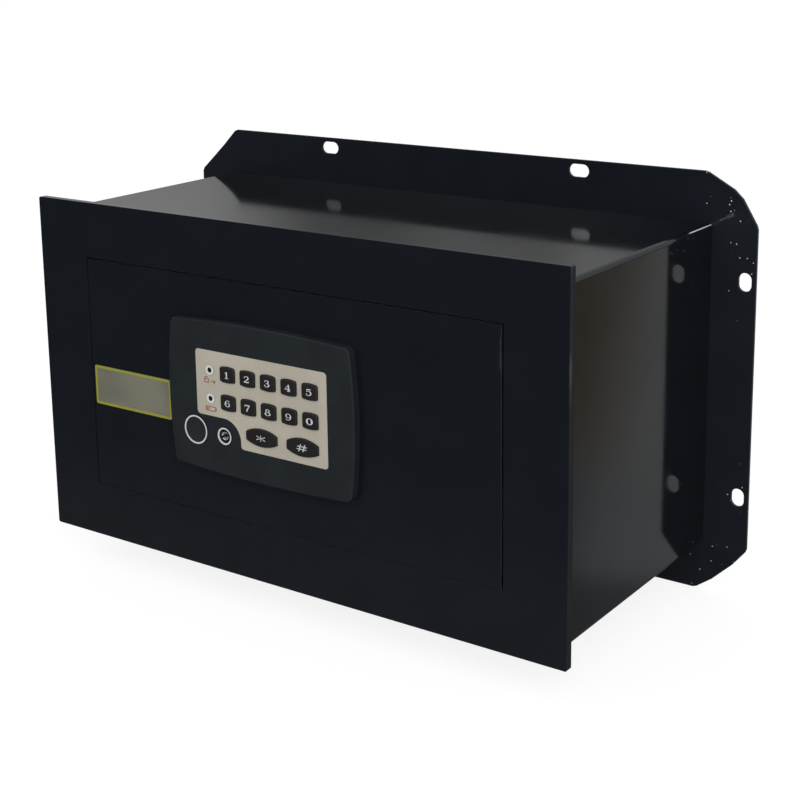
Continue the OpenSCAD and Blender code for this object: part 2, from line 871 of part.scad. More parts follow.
module keypad_label() {
    color([0.69, 0.66, 0.59])
        difference() {
            slab(y_pad, y_pad + label_t)
                label_shape();
            slab(y_pad - cut, y_pocket)
                every_key_shape(key_gap);
            for (z = lamp_z)
                rod_y(lamp_x, z, led_r + fit, y_pad - cut, y_pocket);
        }
}

module key_board() {
    dome_r = 2.5;
    dome_t = 0.3;
    color([0.1, 0.35, 0.18]) {
        slab(y_board, y_face)
            pocket_shape(slide_gap);
        for (i = [0:9])
            rod_y(key_place(i)[0], key_place(i)[1], dome_r, y_board - dome_t, y_board);
        for (x = [star_x, hash_x])
            rod_y(x, wide_key_z, dome_r, y_board - dome_t, y_board);
    }
}

module status_lamps() {
    color([0.09, 0.05, 0.05])
        for (z = lamp_z)
            rod_y(lamp_x, z, led_r, y_pad - 0.2, y_board);
}

module lamp_rings() {
    color([0.9, 0.9, 0.88])
        for (z = lamp_z)
            difference() {
                rod_y(lamp_x, z, led_ring_r, y_pad - 0.3, y_pad);
                rod_y(lamp_x, z, led_r + fit, y_pad - cut, y_pad + cut);
            }
}

module housing_screws() {
    color([0.75, 0.75, 0.77])
        for (p = screw_places) {
            rod_y(p[0], p[1], screw_r, y_face - 3.5, y_plate + cut);
            rod_y(p[0], p[1], 2 * screw_r, y_plate, y_plate + 2);
        }
}

module cap_ring() {
    color([0.9, 0.9, 0.9])
        difference() {
            rod_y(lock_x, lock_z, cap_ring_out, y_pad - ring_proud, y_pad + cap_depth);
            rod_y(lock_x, lock_z, cap_ring_in, y_pad - cut, y_pad + cap_depth + cut);
        }
}

module lock_cap() {
    color([0.12, 0.13, 0.14]) {
        difference() {
            rod_y(lock_x, lock_z, cap_ring_in - fit, y_pad - 0.1, y_pad + cap_depth);
            rod_y(lock_x, lock_z, cap_ring_in - 1.4, y_pad + cap_depth - 0.8, y_pad + cap_depth + cut);
        }
    }
}

// Socket for an outside battery, with its centre pin
module power_socket() {
    jack_tail = 7;
    jack_depth = 9;
    jack_pin_r = 0.9;
    color([0.75, 0.75, 0.75]) {
        difference() {
            rod_y(jack_x, jack_z, jack_r, y_pad, y_plate + jack_tail);
            rod_y(jack_x, jack_z, jack_hole_r, y_pad - cut, y_pad + jack_depth);
        }
        rod_y(jack_x, jack_z, jack_pin_r, y_pad + 1.5, y_pad + jack_depth + 0.5);
    }
}

module socket_ring() {
    color([0.9, 0.9, 0.9])
        difference() {
            rod_y(jack_x, jack_z, jack_ring_out, y_pad - ring_proud, y_pad + socket_ring_depth);
            rod_y(jack_x, jack_z, jack_ring_in, y_pad - cut, y_pad + socket_ring_depth + cut);
        }
}

module badge_plate() {
    color([0.55, 0.56, 0.45])
        translate([-badge_x, 0, -badge_z])
            slab(y_face - badge_t, y_face)
                round_rect(badge_w, badge_h, 1.5);
}

// Barrel with a bore for the plug and a hollow spindle behind it for the gear
module lock_barrel() {
    color([0.78, 0.78, 0.8])
        difference() {
            union() {
                rod_y(lock_x, lock_z, lock_r, y_barrel, web_front - slide_gap);
                rod_y(lock_x, lock_z, spindle_r - fit, web_front - cut, web_back + cam_gap / 2);
            }
            rod_y(lock_x, lock_z, plug_r + fit, y_barrel - cut, y_barrel + plug_l + cam_gap);
            rod_y(lock_x, lock_z, tail_r + fit, y_barrel, web_back + cut);
        }
}

module lock_plug() {
    slot_w = 1.4;
    slot_h = 1.5 * plug_r;
    color([0.7, 0.66, 0.5])
        difference() {
            union() {
                rod_y(lock_x, lock_z, plug_r, y_barrel, y_barrel + plug_l);
                rod_y(lock_x, lock_z, tail_r, y_barrel, web_back + cam_gap);
                rod_y(lock_x, lock_z, cam_seat_r, y_barrel, web_back + cam_gap + cam_t + 1);
            }
            translate([lock_x - slot_w / 2, y_barrel - cut, lock_z - slot_h / 2])
                cube([slot_w, plug_l - 3, slot_h]);
        }
}

// Cam on the plug's tail: its finger pushes the lug of the gear and leaves it free otherwise
module lock_cam() {
    color([0.6, 0.6, 0.62])
        difference() {
            translate([lock_x, 0, lock_z])
                slab(web_back + cam_gap, web_back + cam_gap + cam_t) {
                    circle(r = spindle_r + 0.4);
                    rotate(cam_angle)
                        translate([0, -cam_w / 2])
                            square([cam_reach, cam_w]);
                }
            rod_y(lock_x, lock_z, cam_seat_r + fit, web_back, web_back + cam_gap + cam_t + cut);
        }
}

module lock_nut() {
    nut_t = 5;
    nut_rim = 4.5;
    color([0.72, 0.72, 0.74])
        difference() {
            translate([lock_x, y_plate + nut_t, lock_z])
                rotate([90, 0, 0])
                    cylinder(h = nut_t, r = lock_r + nut_rim, $fn = 6);
            rod_y(lock_x, lock_z, lock_r + fit, y_plate - cut, y_plate + nut_t + cut);
        }
}

// Plate that carries the two bolts, with a rack for the motor and one for the emergency lock
module bolt_carriage() {
    color([0.62, 0.63, 0.65])
        difference() {
            union() {
                translate([carriage_x, bolt_y - bolt_r - 1, -flange_z])
                    cube([carriage_t, 2 * bolt_r + 2, 2 * flange_z]);
                slab(web_front, web_back)
                    difference() {
                        union() {
                            translate([carriage_x, override_rack_z + dedendum])
                                square([web_r - carriage_x, web_top - override_rack_z - dedendum]);
                            rack_teeth(lock_x, lock_x - 9, lock_x + bolt_throw + 9, override_rack_z);
                        }
                        difference() {
                            translate([window_l, pinion_rack_z - dedendum])
                                square([window_r - window_l, window_top - pinion_rack_z + dedendum]);
                            rack_teeth(pinion_x, window_l, window_r, pinion_rack_z, up = true);
                        }
                        for (p = studs)
                            translate([p[0] + bolt_throw / 2, p[1]])
                                slot_shape(bolt_throw + 2 * (stud_r + fit), 2 * (stud_r + fit));
                        translate([carriage_x + carriage_t, bolt_z - bolt_head_r - 1])
                            square([bolt_head_t + 1, 2 * bolt_head_r + 2]);
                    }
            }
            for (s = [-1, 1])
                rod_x(carriage_x - cut, carriage_x + carriage_t + cut, bolt_y, s * bolt_z,
                    bolt_screw_r + fit);
        }
}

module locking_bolts() {
    chamfer = 1.5;
    color([0.8, 0.8, 0.82])
        for (s = [-1, 1])
            translate([bolt_tip, bolt_y, s * bolt_z])
                rotate([0, 90, 0])
                    rotate_extrude()
                        polygon([[0, 0], [bolt_r - chamfer, 0], [bolt_r, chamfer],
                            [bolt_r, bolt_l], [bolt_screw_r + fit, bolt_l],
                            [bolt_screw_r + fit, bolt_l - bolt_tap_l], [0, bolt_l - bolt_tap_l]]);
}

module bolt_screws() {
    color([0.3, 0.3, 0.32])
        for (s = [-1, 1]) {
            rod_x(carriage_x - bolt_screw_l, carriage_x + carriage_t + cut, bolt_y, s * bolt_z,
                bolt_screw_r);
            rod_x(carriage_x + carriage_t, carriage_x + carriage_t + bolt_head_t, bolt_y, s * bolt_z,
                bolt_head_r);
        }
}

module drive_pinion() {
    hub_t = 0.8;
    color([0.85, 0.83, 0.75]) {
        translate([pinion_x, 0, pinion_z])
            slab(web_front - 0.5, web_back + 0.3)
                rotate(-90)
                    polygon(gear_points(pinion_teeth));
        rod_y(pinion_x, pinion_z, 3, web_front - 0.5, web_back + hub_t);
        rod_y(pinion_x, pinion_z, motor_shaft_r, web_front - 1, y_bracket + bracket_t + 8);
    }
}

module override_gear() {
    color([0.66, 0.6, 0.42])
        translate([lock_x, 0, lock_z])
            slab(web_front, web_back)
                difference() {
                    rotate(90)
                        polygon(gear_points(override_teeth));
                    circle(r = spindle_r);
                    rotate(lug_angle)
                        translate([lug_orbit, 0])
                            circle(r = lug_r + fit);
                }
}

// Pin set in the gear, for the cam's finger to push against
module gear_lug() {
    color([0.72, 0.72, 0.74])
        rod_y(lock_x + lug_orbit * cos(lug_angle), lock_z + lug_orbit * sin(lug_angle), lug_r,
            web_front, web_back + lug_l);
}

// Folded plate that holds the motor over the carriage
module motor_bracket() {
    color([0.6, 0.6, 0.63])
        difference() {
            union() {
                translate([bracket_l, y_bracket, bracket_low])
                    cube([bracket_r - bracket_l, bracket_t, bracket_top - bracket_low]);
                translate([bracket_l, y_plate, bracket_top - bracket_t])
                    cube([bracket_r - bracket_l, y_bracket + bracket_t - y_plate, bracket_t]);
                translate([bracket_r - bracket_t, y_plate, bracket_low])
                    cube([bracket_t, y_bracket + bracket_t - y_plate, bracket_top - bracket_low]);
            }
            rod_y(pinion_x, pinion_z, motor_shaft_r + 1, y_bracket - cut, y_bracket + bracket_t + cut);
        }
}

module gear_motor() {
    y_front = y_bracket + bracket_t;
    color([0.2, 0.2, 0.22])
        difference() {
            union() {
                translate([pinion_x, 0, pinion_z])
                    slab(y_front, y_front + motor_box[1])
                        round_rect(motor_box[0], motor_box[2], 3);
                rod_x(pinion_x, pinion_x + motor_box[0] / 2 + motor_can_l,
                    y_front + motor_can_r, pinion_z, motor_can_r);
                rod_x(pinion_x, pinion_x + motor_box[0] / 2 + motor_can_l + 2,
                    y_front + motor_can_r, pinion_z, 2.5);
            }
            rod_y(pinion_x, pinion_z, motor_shaft_r + fit, y_front - cut, y_front + 9);
        }
}

module control_board() {
    control_h = control_z[1] - control_z[0];
    y_parts = control_y + control_t;
    relay = [19, 15, 15];
    chip = [26, 3, 9];
    buzzer_r = 6;
    buzzer_l = 7.4;
    color([0.1, 0.35, 0.18])
        union() {
            translate([control_l, control_y, control_z[0]])
                cube([control_w, control_t, control_h]);
            translate([control_l + board_rim, y_parts, control_z[0] + 1.5 * board_rim])
                cube(relay);
            rod_y(control_l + control_w - board_rim - 10, control_z[0] + board_rim + 12, buzzer_r, y_parts,
                y_parts + buzzer_l);
            translate([control_l + (control_w - chip[0]) / 2, y_parts, control_z[0] + control_h / 2])
                cube(chip);
            for (x = [motor_plug_x, supply_plug_x])
                translate([control_l + x, y_parts, control_z[1] - 2 * plug_h])
                    cube([plug_w, plug_h, plug_h]);
            translate([control_l + ribbon_plug_x, y_parts, control_z[0] + ribbon_plug_z])
                cube([ribbon_plug_w, plug_h, plug_h]);
        }
}

module board_standoffs() {
    color([0.8, 0.7, 0.4])
        for (x = [board_rim, control_w - board_rim], z = [control_z[0] + 3, control_z[1] - 3])
            rod_y(control_l + x, z, standoff_r, y_plate, control_y);
}

// Switch that tells the board where the bolts are
module bolt_switch() {
    switch_l = carriage_x + carriage_t + slide_gap;
    switch_size = [18, 16, 6.5];
    switch_low = web_top + 0.8;
    switch_hole_r = 1.2;
    hole_inset = 5;
    color([0.1, 0.1, 0.1])
        difference() {
            translate([switch_l, y_plate, switch_low])
                cube(switch_size);
            for (x = [hole_inset, switch_size[0] - hole_inset])
                rod_y(switch_l + x, switch_low + switch_size[2] / 2, switch_hole_r, y_plate - cut,
                    y_plate + switch_size[1] + cut);
        }
}

module battery_holder() {
    inner_h = cell_count * cell_pitch;
    color([0.08, 0.08, 0.08])
        difference() {
            translate([holder_x - holder_w / 2, y_cover_in - holder_d, -holder_h / 2])
                cube([holder_w, holder_d, holder_h]);
            translate([holder_x - holder_w / 2 + 2, y_cover_in - holder_d + 2, -inner_h / 2])
                cube([holder_w - 4, holder_d, inner_h]);
        }
}

module batteries() {
    y_cell = y_cover_in - holder_d + 2 + cell_r;
    color([0.2, 0.35, 0.6])
        for (i = [0:cell_count - 1]) {
            z = (i - (cell_count - 1) / 2) * cell_pitch;
            turn = i % 2 == 0 ? 1 : -1;
            rod_x(holder_x - cell_l / 2 + 1, holder_x + cell_l / 2 - 1, y_cell, z, cell_r);
            rod_x(holder_x + turn * (cell_l / 2 - 1) - 1, holder_x + turn * (cell_l / 2 - 1) + 1,
                y_cell, z, 2.7);
        }
}

module battery_lid() {
    color([0.15, 0.15, 0.17])
        union() {
            translate([holder_x, 0, 0])
                slab(y_cover_in, y_cover_in + lid_t)
                    square([lid_w, lid_h], center = true);
            translate([holder_x - lid_w / 2, y_cover + 0.2, lid_h / 2 - 4])
                cube([lid_w, lid_axis_y - y_cover - 0.2 + lid_pin_r, 2.5]);
            translate([holder_x - lid_w / 2, lid_axis_y - lid_pin_r, lid_h / 2 - 4])
                cube([lid_w, 2 * lid_pin_r, lid_axis_z - lid_h / 2 + 4]);
            rod_x(holder_x - lid_w / 2 - lid_gap - lid_ear_t, holder_x + lid_w / 2 + lid_gap + lid_ear_t,
                lid_axis_y, lid_axis_z, lid_pin_r);
        }
}

module reset_switch() {
    color([0.1, 0.1, 0.1])
        translate([reset_x, 0, reset_z])
            difference() {
                slab(y_switch_back, y_cover_in)
                    square([reset_switch_w, reset_switch_w], center = true);
                rod_y(0, 0, reset_r + fit, y_switch_back + 1, y_cover_in + cut);
            }
}

module reset_button() {
    color([0.7, 0.08, 0.08])
        rod_y(reset_x, reset_z, reset_r, y_cover_in - 5, y_cover + 2.5);
}

// Wire run with round bends, from point to point
module wire(points, r) {
    for (i = [0:len(points) - 2]) {
        a = points[i];
        b = points[i + 1];
        run = b - a;
        length = norm(run);
        translate(a)
            rotate([0, acos(run[2] / length), atan2(run[1], run[0])])
                cylinder(h = length, r = r, $fn = 16);
        if (i > 0)
            translate(a)
                sphere(r = 1.15 * r, $fn = 16);
    }
}

// Ribbon from the key board, and the wires of the motor, the batteries and the reset switch
module wiring() {
    ribbon_w = 5;
    ribbon_t = 0.6;
    y_ribbon = control_y + 4;
    y_ribbon_in = y_board + board_t / 4;
    wire_r = 0.8;
    wire_end = 4;
    pair = [-1.2, 1.2];
    y_plug = control_y + control_t + plug_h / 2;
    z_plug = control_z[1] - 2 * plug_h;
    motor_wire_x = control_l + motor_plug_x + 4;
    supply_wire_x = control_l + supply_plug_x + plug_h + 4;
    holder_wire_x = holder_x - holder_w / 2 + 8;
    holder_wire_z = 20;
    motor_end = pinion_x + motor_box[0] / 2 + motor_can_l + 2;
    y_motor = y_bracket + bracket_t + motor_can_r;
    y_holder = y_cover_in - holder_d;
    color([0.5, 0.1, 0.1]) {
        translate([pad_x + label_r - slide_gap, y_ribbon_in, cable_z - ribbon_w / 2])
            cube([cable_x - pad_x - label_r + slide_gap, ribbon_t, ribbon_w]);
        translate([cable_x - ribbon_t, y_ribbon_in, cable_z - ribbon_w / 2])
            cube([ribbon_t, y_ribbon - y_ribbon_in, ribbon_w]);
        translate([cable_x - ribbon_t, y_ribbon - ribbon_t, cable_z - ribbon_w / 2])
            cube([ribbon_w, ribbon_t, control_z[0] + ribbon_plug_z - cable_z + ribbon_w / 2]);
        for (d = pair) {
            wire([[motor_end, y_motor, pinion_z + d], [motor_wire_x - d, y_motor, pinion_z + d],
                [motor_wire_x - d, y_plug, z_plug - wire_end],
                [motor_wire_x - d, y_plug, z_plug]], wire_r);
            wire([[holder_wire_x, y_holder, holder_wire_z + d],
                [holder_wire_x, y_holder - wire_end, holder_wire_z + d],
                [supply_wire_x + d, y_holder - wire_end, z_plug - 2.5 * wire_end],
                [supply_wire_x + d, y_plug, z_plug - wire_end],
                [supply_wire_x + d, y_plug, z_plug]], wire_r);
            wire([[reset_x + d, y_switch_back, reset_z],
                [reset_x + d, y_switch_back - 1.5 * wire_end, reset_z],
                [supply_wire_x + d, y_plug + wire_end / 2, reset_z + 2 * wire_end],
                [supply_wire_x + d, y_plug, z_plug + plug_h + wire_end],
                [supply_wire_x + d, y_plug, z_plug + plug_h]], wire_r);
        }
    }
}

// Key cap with a softened top, a lip behind the housing wall and a flat back
module key_solid(x, z, w, h, arch) {
    soft = 0.5;
    translate([x, 0, z]) {
        hull() {
            slab(y_key + soft, y_pocket)
                key_shape(w, h, arch, $fn = 32);
            slab(y_key, y_pocket)
                key_shape(w - 2 * soft, h - 2 * soft, arch, $fn = 32);
        }
        slab(y_pocket, y_pocket + key_lip)
            round_rect(w + 2 * key_lip_w, h + 2 * key_lip_w, key_corner_r);
    }
}

module number_key(i) {
    color([0.12, 0.11, 0.11])
        key_solid(key_place(i)[0], key_place(i)[1], key_w, key_h, key_arch);
}

module wide_key(x) {
    color([0.12, 0.11, 0.11])
        key_solid(x, wide_key_z, wide_key_w, wide_key_h, wide_key_arch);
}

body_shell();
back_panel();
front_plate();
door_stops();
hinge_brackets();
hinge_pins();
door_leaf();
hinge_arms();
bolt_guide();
guide_studs();
cover_posts();
lock_cover();
cover_screws();
keypad_housing();
keypad_label();
key_board();
status_lamps();
lamp_rings();
housing_screws();
cap_ring();
power_socket();
socket_ring();
badge_plate();
lock_barrel();
lock_nut();
motor_bracket();
gear_motor();
control_board();
board_standoffs();
bolt_switch();
battery_holder();
batteries();
reset_switch();
wiring();
bolt_carriage();
locking_bolts();
bolt_screws();
drive_pinion();
override_gear();
gear_lug();
lock_plug();
lock_cam();
lock_cap();
battery_lid();
reset_button();
number_key(0);  // key_1
number_key(1);  // key_2
number_key(2);  // key_3
number_key(3);  // key_4
number_key(4);  // key_5
number_key(5);  // key_6
number_key(6);  // key_7
number_key(7);  // key_8
number_key(8);  // key_9
number_key(9);  // key_0
wide_key(star_x);  // key_star
wide_key(hash_x);  // key_hash
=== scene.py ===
import json
import math

import bmesh
import bpy
from mathutils import Matrix, Vector


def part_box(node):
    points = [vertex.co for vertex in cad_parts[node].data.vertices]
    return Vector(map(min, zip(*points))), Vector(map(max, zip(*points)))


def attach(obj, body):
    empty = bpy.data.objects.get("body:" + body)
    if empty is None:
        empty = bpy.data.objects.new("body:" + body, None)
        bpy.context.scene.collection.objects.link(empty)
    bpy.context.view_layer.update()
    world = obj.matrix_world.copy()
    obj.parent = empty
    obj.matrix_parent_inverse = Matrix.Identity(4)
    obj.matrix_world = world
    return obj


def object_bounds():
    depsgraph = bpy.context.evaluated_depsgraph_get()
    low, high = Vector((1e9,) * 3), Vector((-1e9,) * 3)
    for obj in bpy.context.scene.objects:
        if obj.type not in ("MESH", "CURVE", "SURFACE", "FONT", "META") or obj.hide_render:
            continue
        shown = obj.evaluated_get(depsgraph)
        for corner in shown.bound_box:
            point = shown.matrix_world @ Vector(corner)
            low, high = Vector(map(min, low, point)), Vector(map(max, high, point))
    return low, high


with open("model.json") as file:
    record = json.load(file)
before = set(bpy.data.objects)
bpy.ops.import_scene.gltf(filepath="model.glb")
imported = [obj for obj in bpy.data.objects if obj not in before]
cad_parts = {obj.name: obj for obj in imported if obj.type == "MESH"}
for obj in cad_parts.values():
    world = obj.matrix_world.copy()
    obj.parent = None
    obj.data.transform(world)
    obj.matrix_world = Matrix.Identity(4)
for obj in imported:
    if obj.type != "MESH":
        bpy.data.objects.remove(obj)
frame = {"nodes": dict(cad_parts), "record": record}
cad_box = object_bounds()
scene = bpy.context.scene
scene.view_settings.view_transform = "Standard"

MM = 0.001
PICTURE_PX = 800


# Camera at the photograph's viewing angle

YAW, PITCH, ROLL = 35.118, 12.313, -0.737
CAMERA_AT = (0.60977, -0.93034, 0.30761)
LENS_PX = 1560.1
SENSOR = 36.0
SHIFT = 0.18


def make_camera():
    yaw, pitch, roll = (math.radians(a) for a in (YAW, PITCH, ROLL))
    back = Vector((math.sin(yaw) * math.cos(pitch), -math.cos(yaw) * math.cos(pitch), math.sin(pitch)))
    right = Vector((math.cos(yaw), math.sin(yaw), 0))
    up = back.cross(right)
    turned_right = right * math.cos(roll) + up * math.sin(roll)
    turned_up = up * math.cos(roll) - right * math.sin(roll)
    data = bpy.data.cameras.new("camera")
    data.sensor_width = SENSOR
    data.lens = LENS_PX * SENSOR / PICTURE_PX
    data.shift_y = -SHIFT
    data.clip_start = 0.01
    camera = bpy.data.objects.new("camera", data)
    rotation = Matrix((turned_right, turned_up, back)).transposed()
    camera.matrix_world = Matrix.Translation(CAMERA_AT) @ rotation.to_4x4()
    scene.collection.objects.link(camera)
    scene.camera = camera


# Node trees

def linear(rgb):
    """Turns 0 to 255 screen values into the linear colour that renders as them."""
    shares = [value / 255 for value in rgb]
    return tuple(s / 12.92 if s <= 0.04045 else ((s + 0.055) / 1.055) ** 2.4 for s in shares)


def scaled(colour, factor):
    """The colour, brighter or darker by a factor."""
    return tuple(min(1, c * factor) for c in colour)


class Nodes:
    """Adds nodes to a tree and returns their output sockets."""

    def __init__(self, tree):
        self.tree = tree

    def node(self, kind, inputs=None, **settings):
        made = self.tree.nodes.new("ShaderNode" + kind)
        for key, value in settings.items():
            setattr(made, key, value)
        for key, value in (inputs or {}).items():
            self.put(made.inputs[key], value)
        return made

    def put(self, socket, value):
        if isinstance(value, bpy.types.NodeSocket):
            self.tree.links.new(value, socket)
        elif isinstance(value, tuple) and len(value) == 3 and socket.type == "RGBA":
            socket.default_value = (*value, 1)
        else:
            socket.default_value = value

    def ramp(self, value, low, high, to_low=0.0, to_high=1.0, smooth=True):
        """Runs from to_low at low to to_high at high. low may be the larger of the two."""
        kind = "SMOOTHSTEP" if smooth else "LINEAR"
        return self.node("MapRange", {"Value": value, "From Min": low, "From Max": high,
                                      "To Min": to_low, "To Max": to_high},
                         interpolation_type=kind).outputs[0]

    def band(self, value, low, high, fade):
        """1 between low and high, fading out inside both ends."""
        return self.times(self.ramp(value, low, low + fade), self.ramp(value, high, high - fade))

    def math(self, operation, a, b=0.0):
        return self.node("Math", {0: a, 1: b}, operation=operation).outputs[0]

    def times(self, first, *others):
        for other in others:
            first = self.math("MULTIPLY", first, other)
        return first

    def plus(self, first, *others):
        for other in others:
            first = self.math("ADD", first, other)
        return first

    def minus(self, a, b):
        return self.math("SUBTRACT", a, b)

    def magnitude(self, value):
        return self.math("ABSOLUTE", value)

    def larger(self, a, b):
        return self.math("MAXIMUM", a, b)

    def blend(self, share, a, b):
        """The number that lies this share of the way from a to b."""
        return self.node("Mix", {0: share, 2: a, 3: b}).outputs[0]

    def turn(self, share, a, b):
        """The same for two directions."""
        return self.node("Mix", {0: share, 4: a, 5: b}, data_type="VECTOR").outputs[1]

    def mix(self, share, a, b):
        """The same for two colours."""
        return self.node("Mix", {0: share, 6: a, 7: b}, data_type="RGBA").outputs[2]

    def split(self, vector):
        return self.node("SeparateXYZ", {0: vector}).outputs


CORNER_REACH = 3 * MM
EDGE_RADIUS = 0.4 * MM
WEAR_RADIUS = 0.6 * MM
STEEL_EDGE, STEEL_WEAR = 0.3 * MM, 0.5 * MM
PRINT_EDGE = 0.2 * MM


class Look(Nodes):
    """A material in object coordinates."""

    def __init__(self, name, metallic=0.0, ior=1.5, specular=0.5, coat=0.0, coat_rough=0.1):
        self.material = bpy.data.materials.new(name)
        self.material.use_nodes = True
        super().__init__(self.material.node_tree)
        self.shader = next(n for n in self.tree.nodes if n.type == "BSDF_PRINCIPLED")
        self.set(Metallic=metallic, IOR=ior, Specular_IOR_Level=specular, Coat_Weight=coat,
                 Coat_Roughness=coat_rough)
        coordinates = self.node("TexCoord").outputs
        self.coord = coordinates["Object"]
        self.own_normal = coordinates["Normal"]
        self.geometry = self.node("NewGeometry").outputs

    def set(self, **inputs):
        for key, value in inputs.items():
            self.put(self.shader.inputs[key.replace("_", " ")], value)
        return self

    def axis(self, letter):
        """The place along one axis of the object."""
        return self.split(self.coord)[letter]

    def off_centre(self, letter):
        """The distance from the object's middle plane across one axis."""
        return self.magnitude(self.axis(letter))

    def facing(self, letter):
        """How far the flat face looks along one axis of the object, from -1 to 1."""
        return self.split(self.own_normal)[letter]

    def noise(self, scale, detail=3, rough=0.55, stretch=None):
        vector = self.coord
        if stretch:
            vector = self.node("Mapping", {"Vector": self.coord, "Scale": stretch}).outputs["Vector"]
        return self.node("TexNoise", {"Vector": vector, "Scale": scale, "Detail": detail,
                                      "Roughness": rough}).outputs[0]

    def uneven(self, scale, low, high, detail=3, rough=0.55):
        """A number that drifts between low and high from place to place."""
        return self.ramp(self.noise(scale, detail, rough), 0.3, 0.7, low, high)

    def cells(self, scale):
        return self.node("TexVoronoi", {"Vector": self.coord, "Scale": scale}).outputs["Distance"]

    def varied(self, colour, amount, scale, detail=3):
        """The colour, lighter and darker by that share from place to place."""
        share = self.uneven(scale, 0, 1, detail)
        return self.mix(share, scaled(colour, 1 - amount), scaled(colour, 1 + amount))

    def rounded(self, radius):
        """The surface normal, rounded over all edges."""
        return self.node("Bevel", {"Radius": radius}, samples=6).outputs[0]

    def open_air(self):
        """1 where nothing stands close over the surface, 0 in inner corners."""
        shade = self.node("AmbientOcclusion", {"Distance": CORNER_REACH}, samples=4, only_local=True)
        return self.ramp(shade.outputs["AO"], 0.72, 0.95)

    def edges(self, radius, low=0.02, high=0.2):
        """1 along the object's outer edges, 0 on its faces and in its inner corners."""
        alike = self.node("VectorMath", {0: self.rounded(radius), 1: self.geometry["Normal"]},
                          operation="DOT_PRODUCT").outputs["Value"]
        return self.times(self.ramp(self.minus(1.0, alike), low, high), self.open_air())

    def soft_edges(self, radius):
        """The surface normal, rounded over the outer edges only, not in inner corners."""
        return self.turn(self.open_air(), self.geometry["Normal"], self.rounded(radius))

    def bump(self, height, distance, strength=0.5, normal=None):
        inputs = {"Height": height, "Distance": distance, "Strength": strength}
        if normal:
            inputs["Normal"] = normal
        return self.node("Bump", inputs).outputs[0]


# Painted steel

BLACK_PAINT = (0.0064, 0.0085, 0.0122)
INSIDE_PAINT = (0.04, 0.042, 0.047)
CHIPPED = (0.32, 0.32, 0.33)
# Pale grey of the door gap: partly dust, partly painted fill light
SEAM_DUST_AND_FILL = (0.2, 0.21, 0.23)
# Bare steel, also used for painted highlights on edges
BARE_STEEL_AND_GLINT = (0.66, 0.66, 0.68)
INSIDE_ROUGH = 0.42
SAWN_ROUGH = 0.5
DUSTY_WEAR = 0.1


def paint_look(name, colour, rough, grain=0.01 * MM, grain_scale=700, chips=0.62, pale_marks=None, dust_and_fill=None,
               dull=None, sweep=None, lined=False):
    """Enamel on steel: orange peel, faint smudges, and thin bright wear along the edges.

    The mask arguments take the look and return where they apply. The first paints bare-steel colour: spatter
    and a scuff on the back plate, a pale patch on the door's edge, and painted highlights that stand in for
    glints on the plate's edge and the body's fold. The second paints pale grey in the door gap: partly fine
    dust, partly painted fill light that lifts the gap's shade. The third roughens the paint.
    sweep takes its normal too and returns another. A lined sheet has a paler paint inside the body.
    """
    look = Look(name, ior=1.47)
    shine = look.uneven(14, rough * 0.8, rough * 1.3, 4, 0.6)
    edge_wear = look.edges(WEAR_RADIUS)
    edge_radius = EDGE_RADIUS
    if dust_and_fill:
        outer = outer_rim(look)
        edge_wear = look.times(edge_wear, outer)
        edge_radius = look.times(look.ramp(outer, 0, 1, DUSTY_WEAR, 1), EDGE_RADIUS)
    chipped = look.times(edge_wear, look.ramp(look.noise(160, 5, 0.7), chips, chips + 0.05))
    few = look.ramp(look.noise(60, 2), 0.66, 0.7)
    specks = look.times(look.ramp(look.cells(420), 0.045, 0.03), few)
    base = look.mix(look.times(edge_wear, 0.35), look.varied(colour, 0.07, 30), scaled(colour, 2.2))
    base = look.mix(look.larger(chipped, specks), base, CHIPPED)
    # Bare-steel colour: spatter, a scuff and a pale patch on some parts, painted highlights standing in for
    # glints on others
    if pale_marks:
        base = look.mix(pale_marks(look), base, BARE_STEEL_AND_GLINT)
    # Pale grey in the door gap: partly fine dust, partly painted fill light that lifts the gap's shade
    if dust_and_fill:
        base = look.mix(dust_and_fill(look), base, SEAM_DUST_AND_FILL)
    if lined:
        inside = inside_body(look)
        base = look.mix(inside, base, look.varied(INSIDE_PAINT, 0.12, 60))
        shine = look.blend(inside, shine, INSIDE_ROUGH)
    if dull:
        rough_paint = dull(look)
        shine = look.blend(rough_paint, shine, SAWN_ROUGH)
        look.set(Specular_IOR_Level=look.ramp(rough_paint, 0, 1, 0.5, 0.25))
    orange_peel = look.plus(look.noise(grain_scale, 2), look.times(look.noise(90, 2), 0.8))
    normal = look.soft_edges(edge_radius)
    if sweep:
        normal = sweep(look, normal)
    return look.set(Base_Color=base, Roughness=shine, Normal=look.bump(orange_peel, grain, 0.6, normal))


def outer_rim(look):
    """1 along the front plate's outer edges, 0 over the door and the seam round it."""
    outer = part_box("front_plate")[1]
    inner_end, outer_end = 6 * MM, 4 * MM
    return look.larger(look.ramp(look.off_centre("X"), outer.x - inner_end, outer.x - outer_end),
                       look.ramp(look.off_centre("Z"), outer.z - inner_end, outer.z - outer_end))


def inside_body(look):
    """1 on the faces that line the body, 0 on its outside and on the back plate's rim."""
    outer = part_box("body_shell")[1]
    half_sheet = 1 * MM
    return look.times(look.ramp(look.off_centre("X"), outer.x - half_sheet, outer.x - 1.5 * half_sheet),
                      look.ramp(look.off_centre("Z"), outer.z - half_sheet, outer.z - 1.5 * half_sheet),
                      look.ramp(look.axis("Y"), outer.y + half_sheet, outer.y + 0.5 * half_sheet))


def drawn_up(look, normal):
    """Shading of the top sheet, which the welds at the back draw up a little."""
    lo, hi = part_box("body_shell")
    rise = 8.5 * MM
    along = look.ramp(look.axis("Y"), lo.y, hi.y, smooth=False)
    swept = look.bump(look.times(along, along, rise), 1.0, 1.0, normal)
    return look.turn(look.ramp(look.facing("Z"), 0.9, 1.0), normal, swept)


def sawn_side(look):
    """1 on the faces that look left or right, where the paint lies rough over the sawn edge."""
    return look.ramp(look.magnitude(look.facing("X")), 0.7, 0.9)


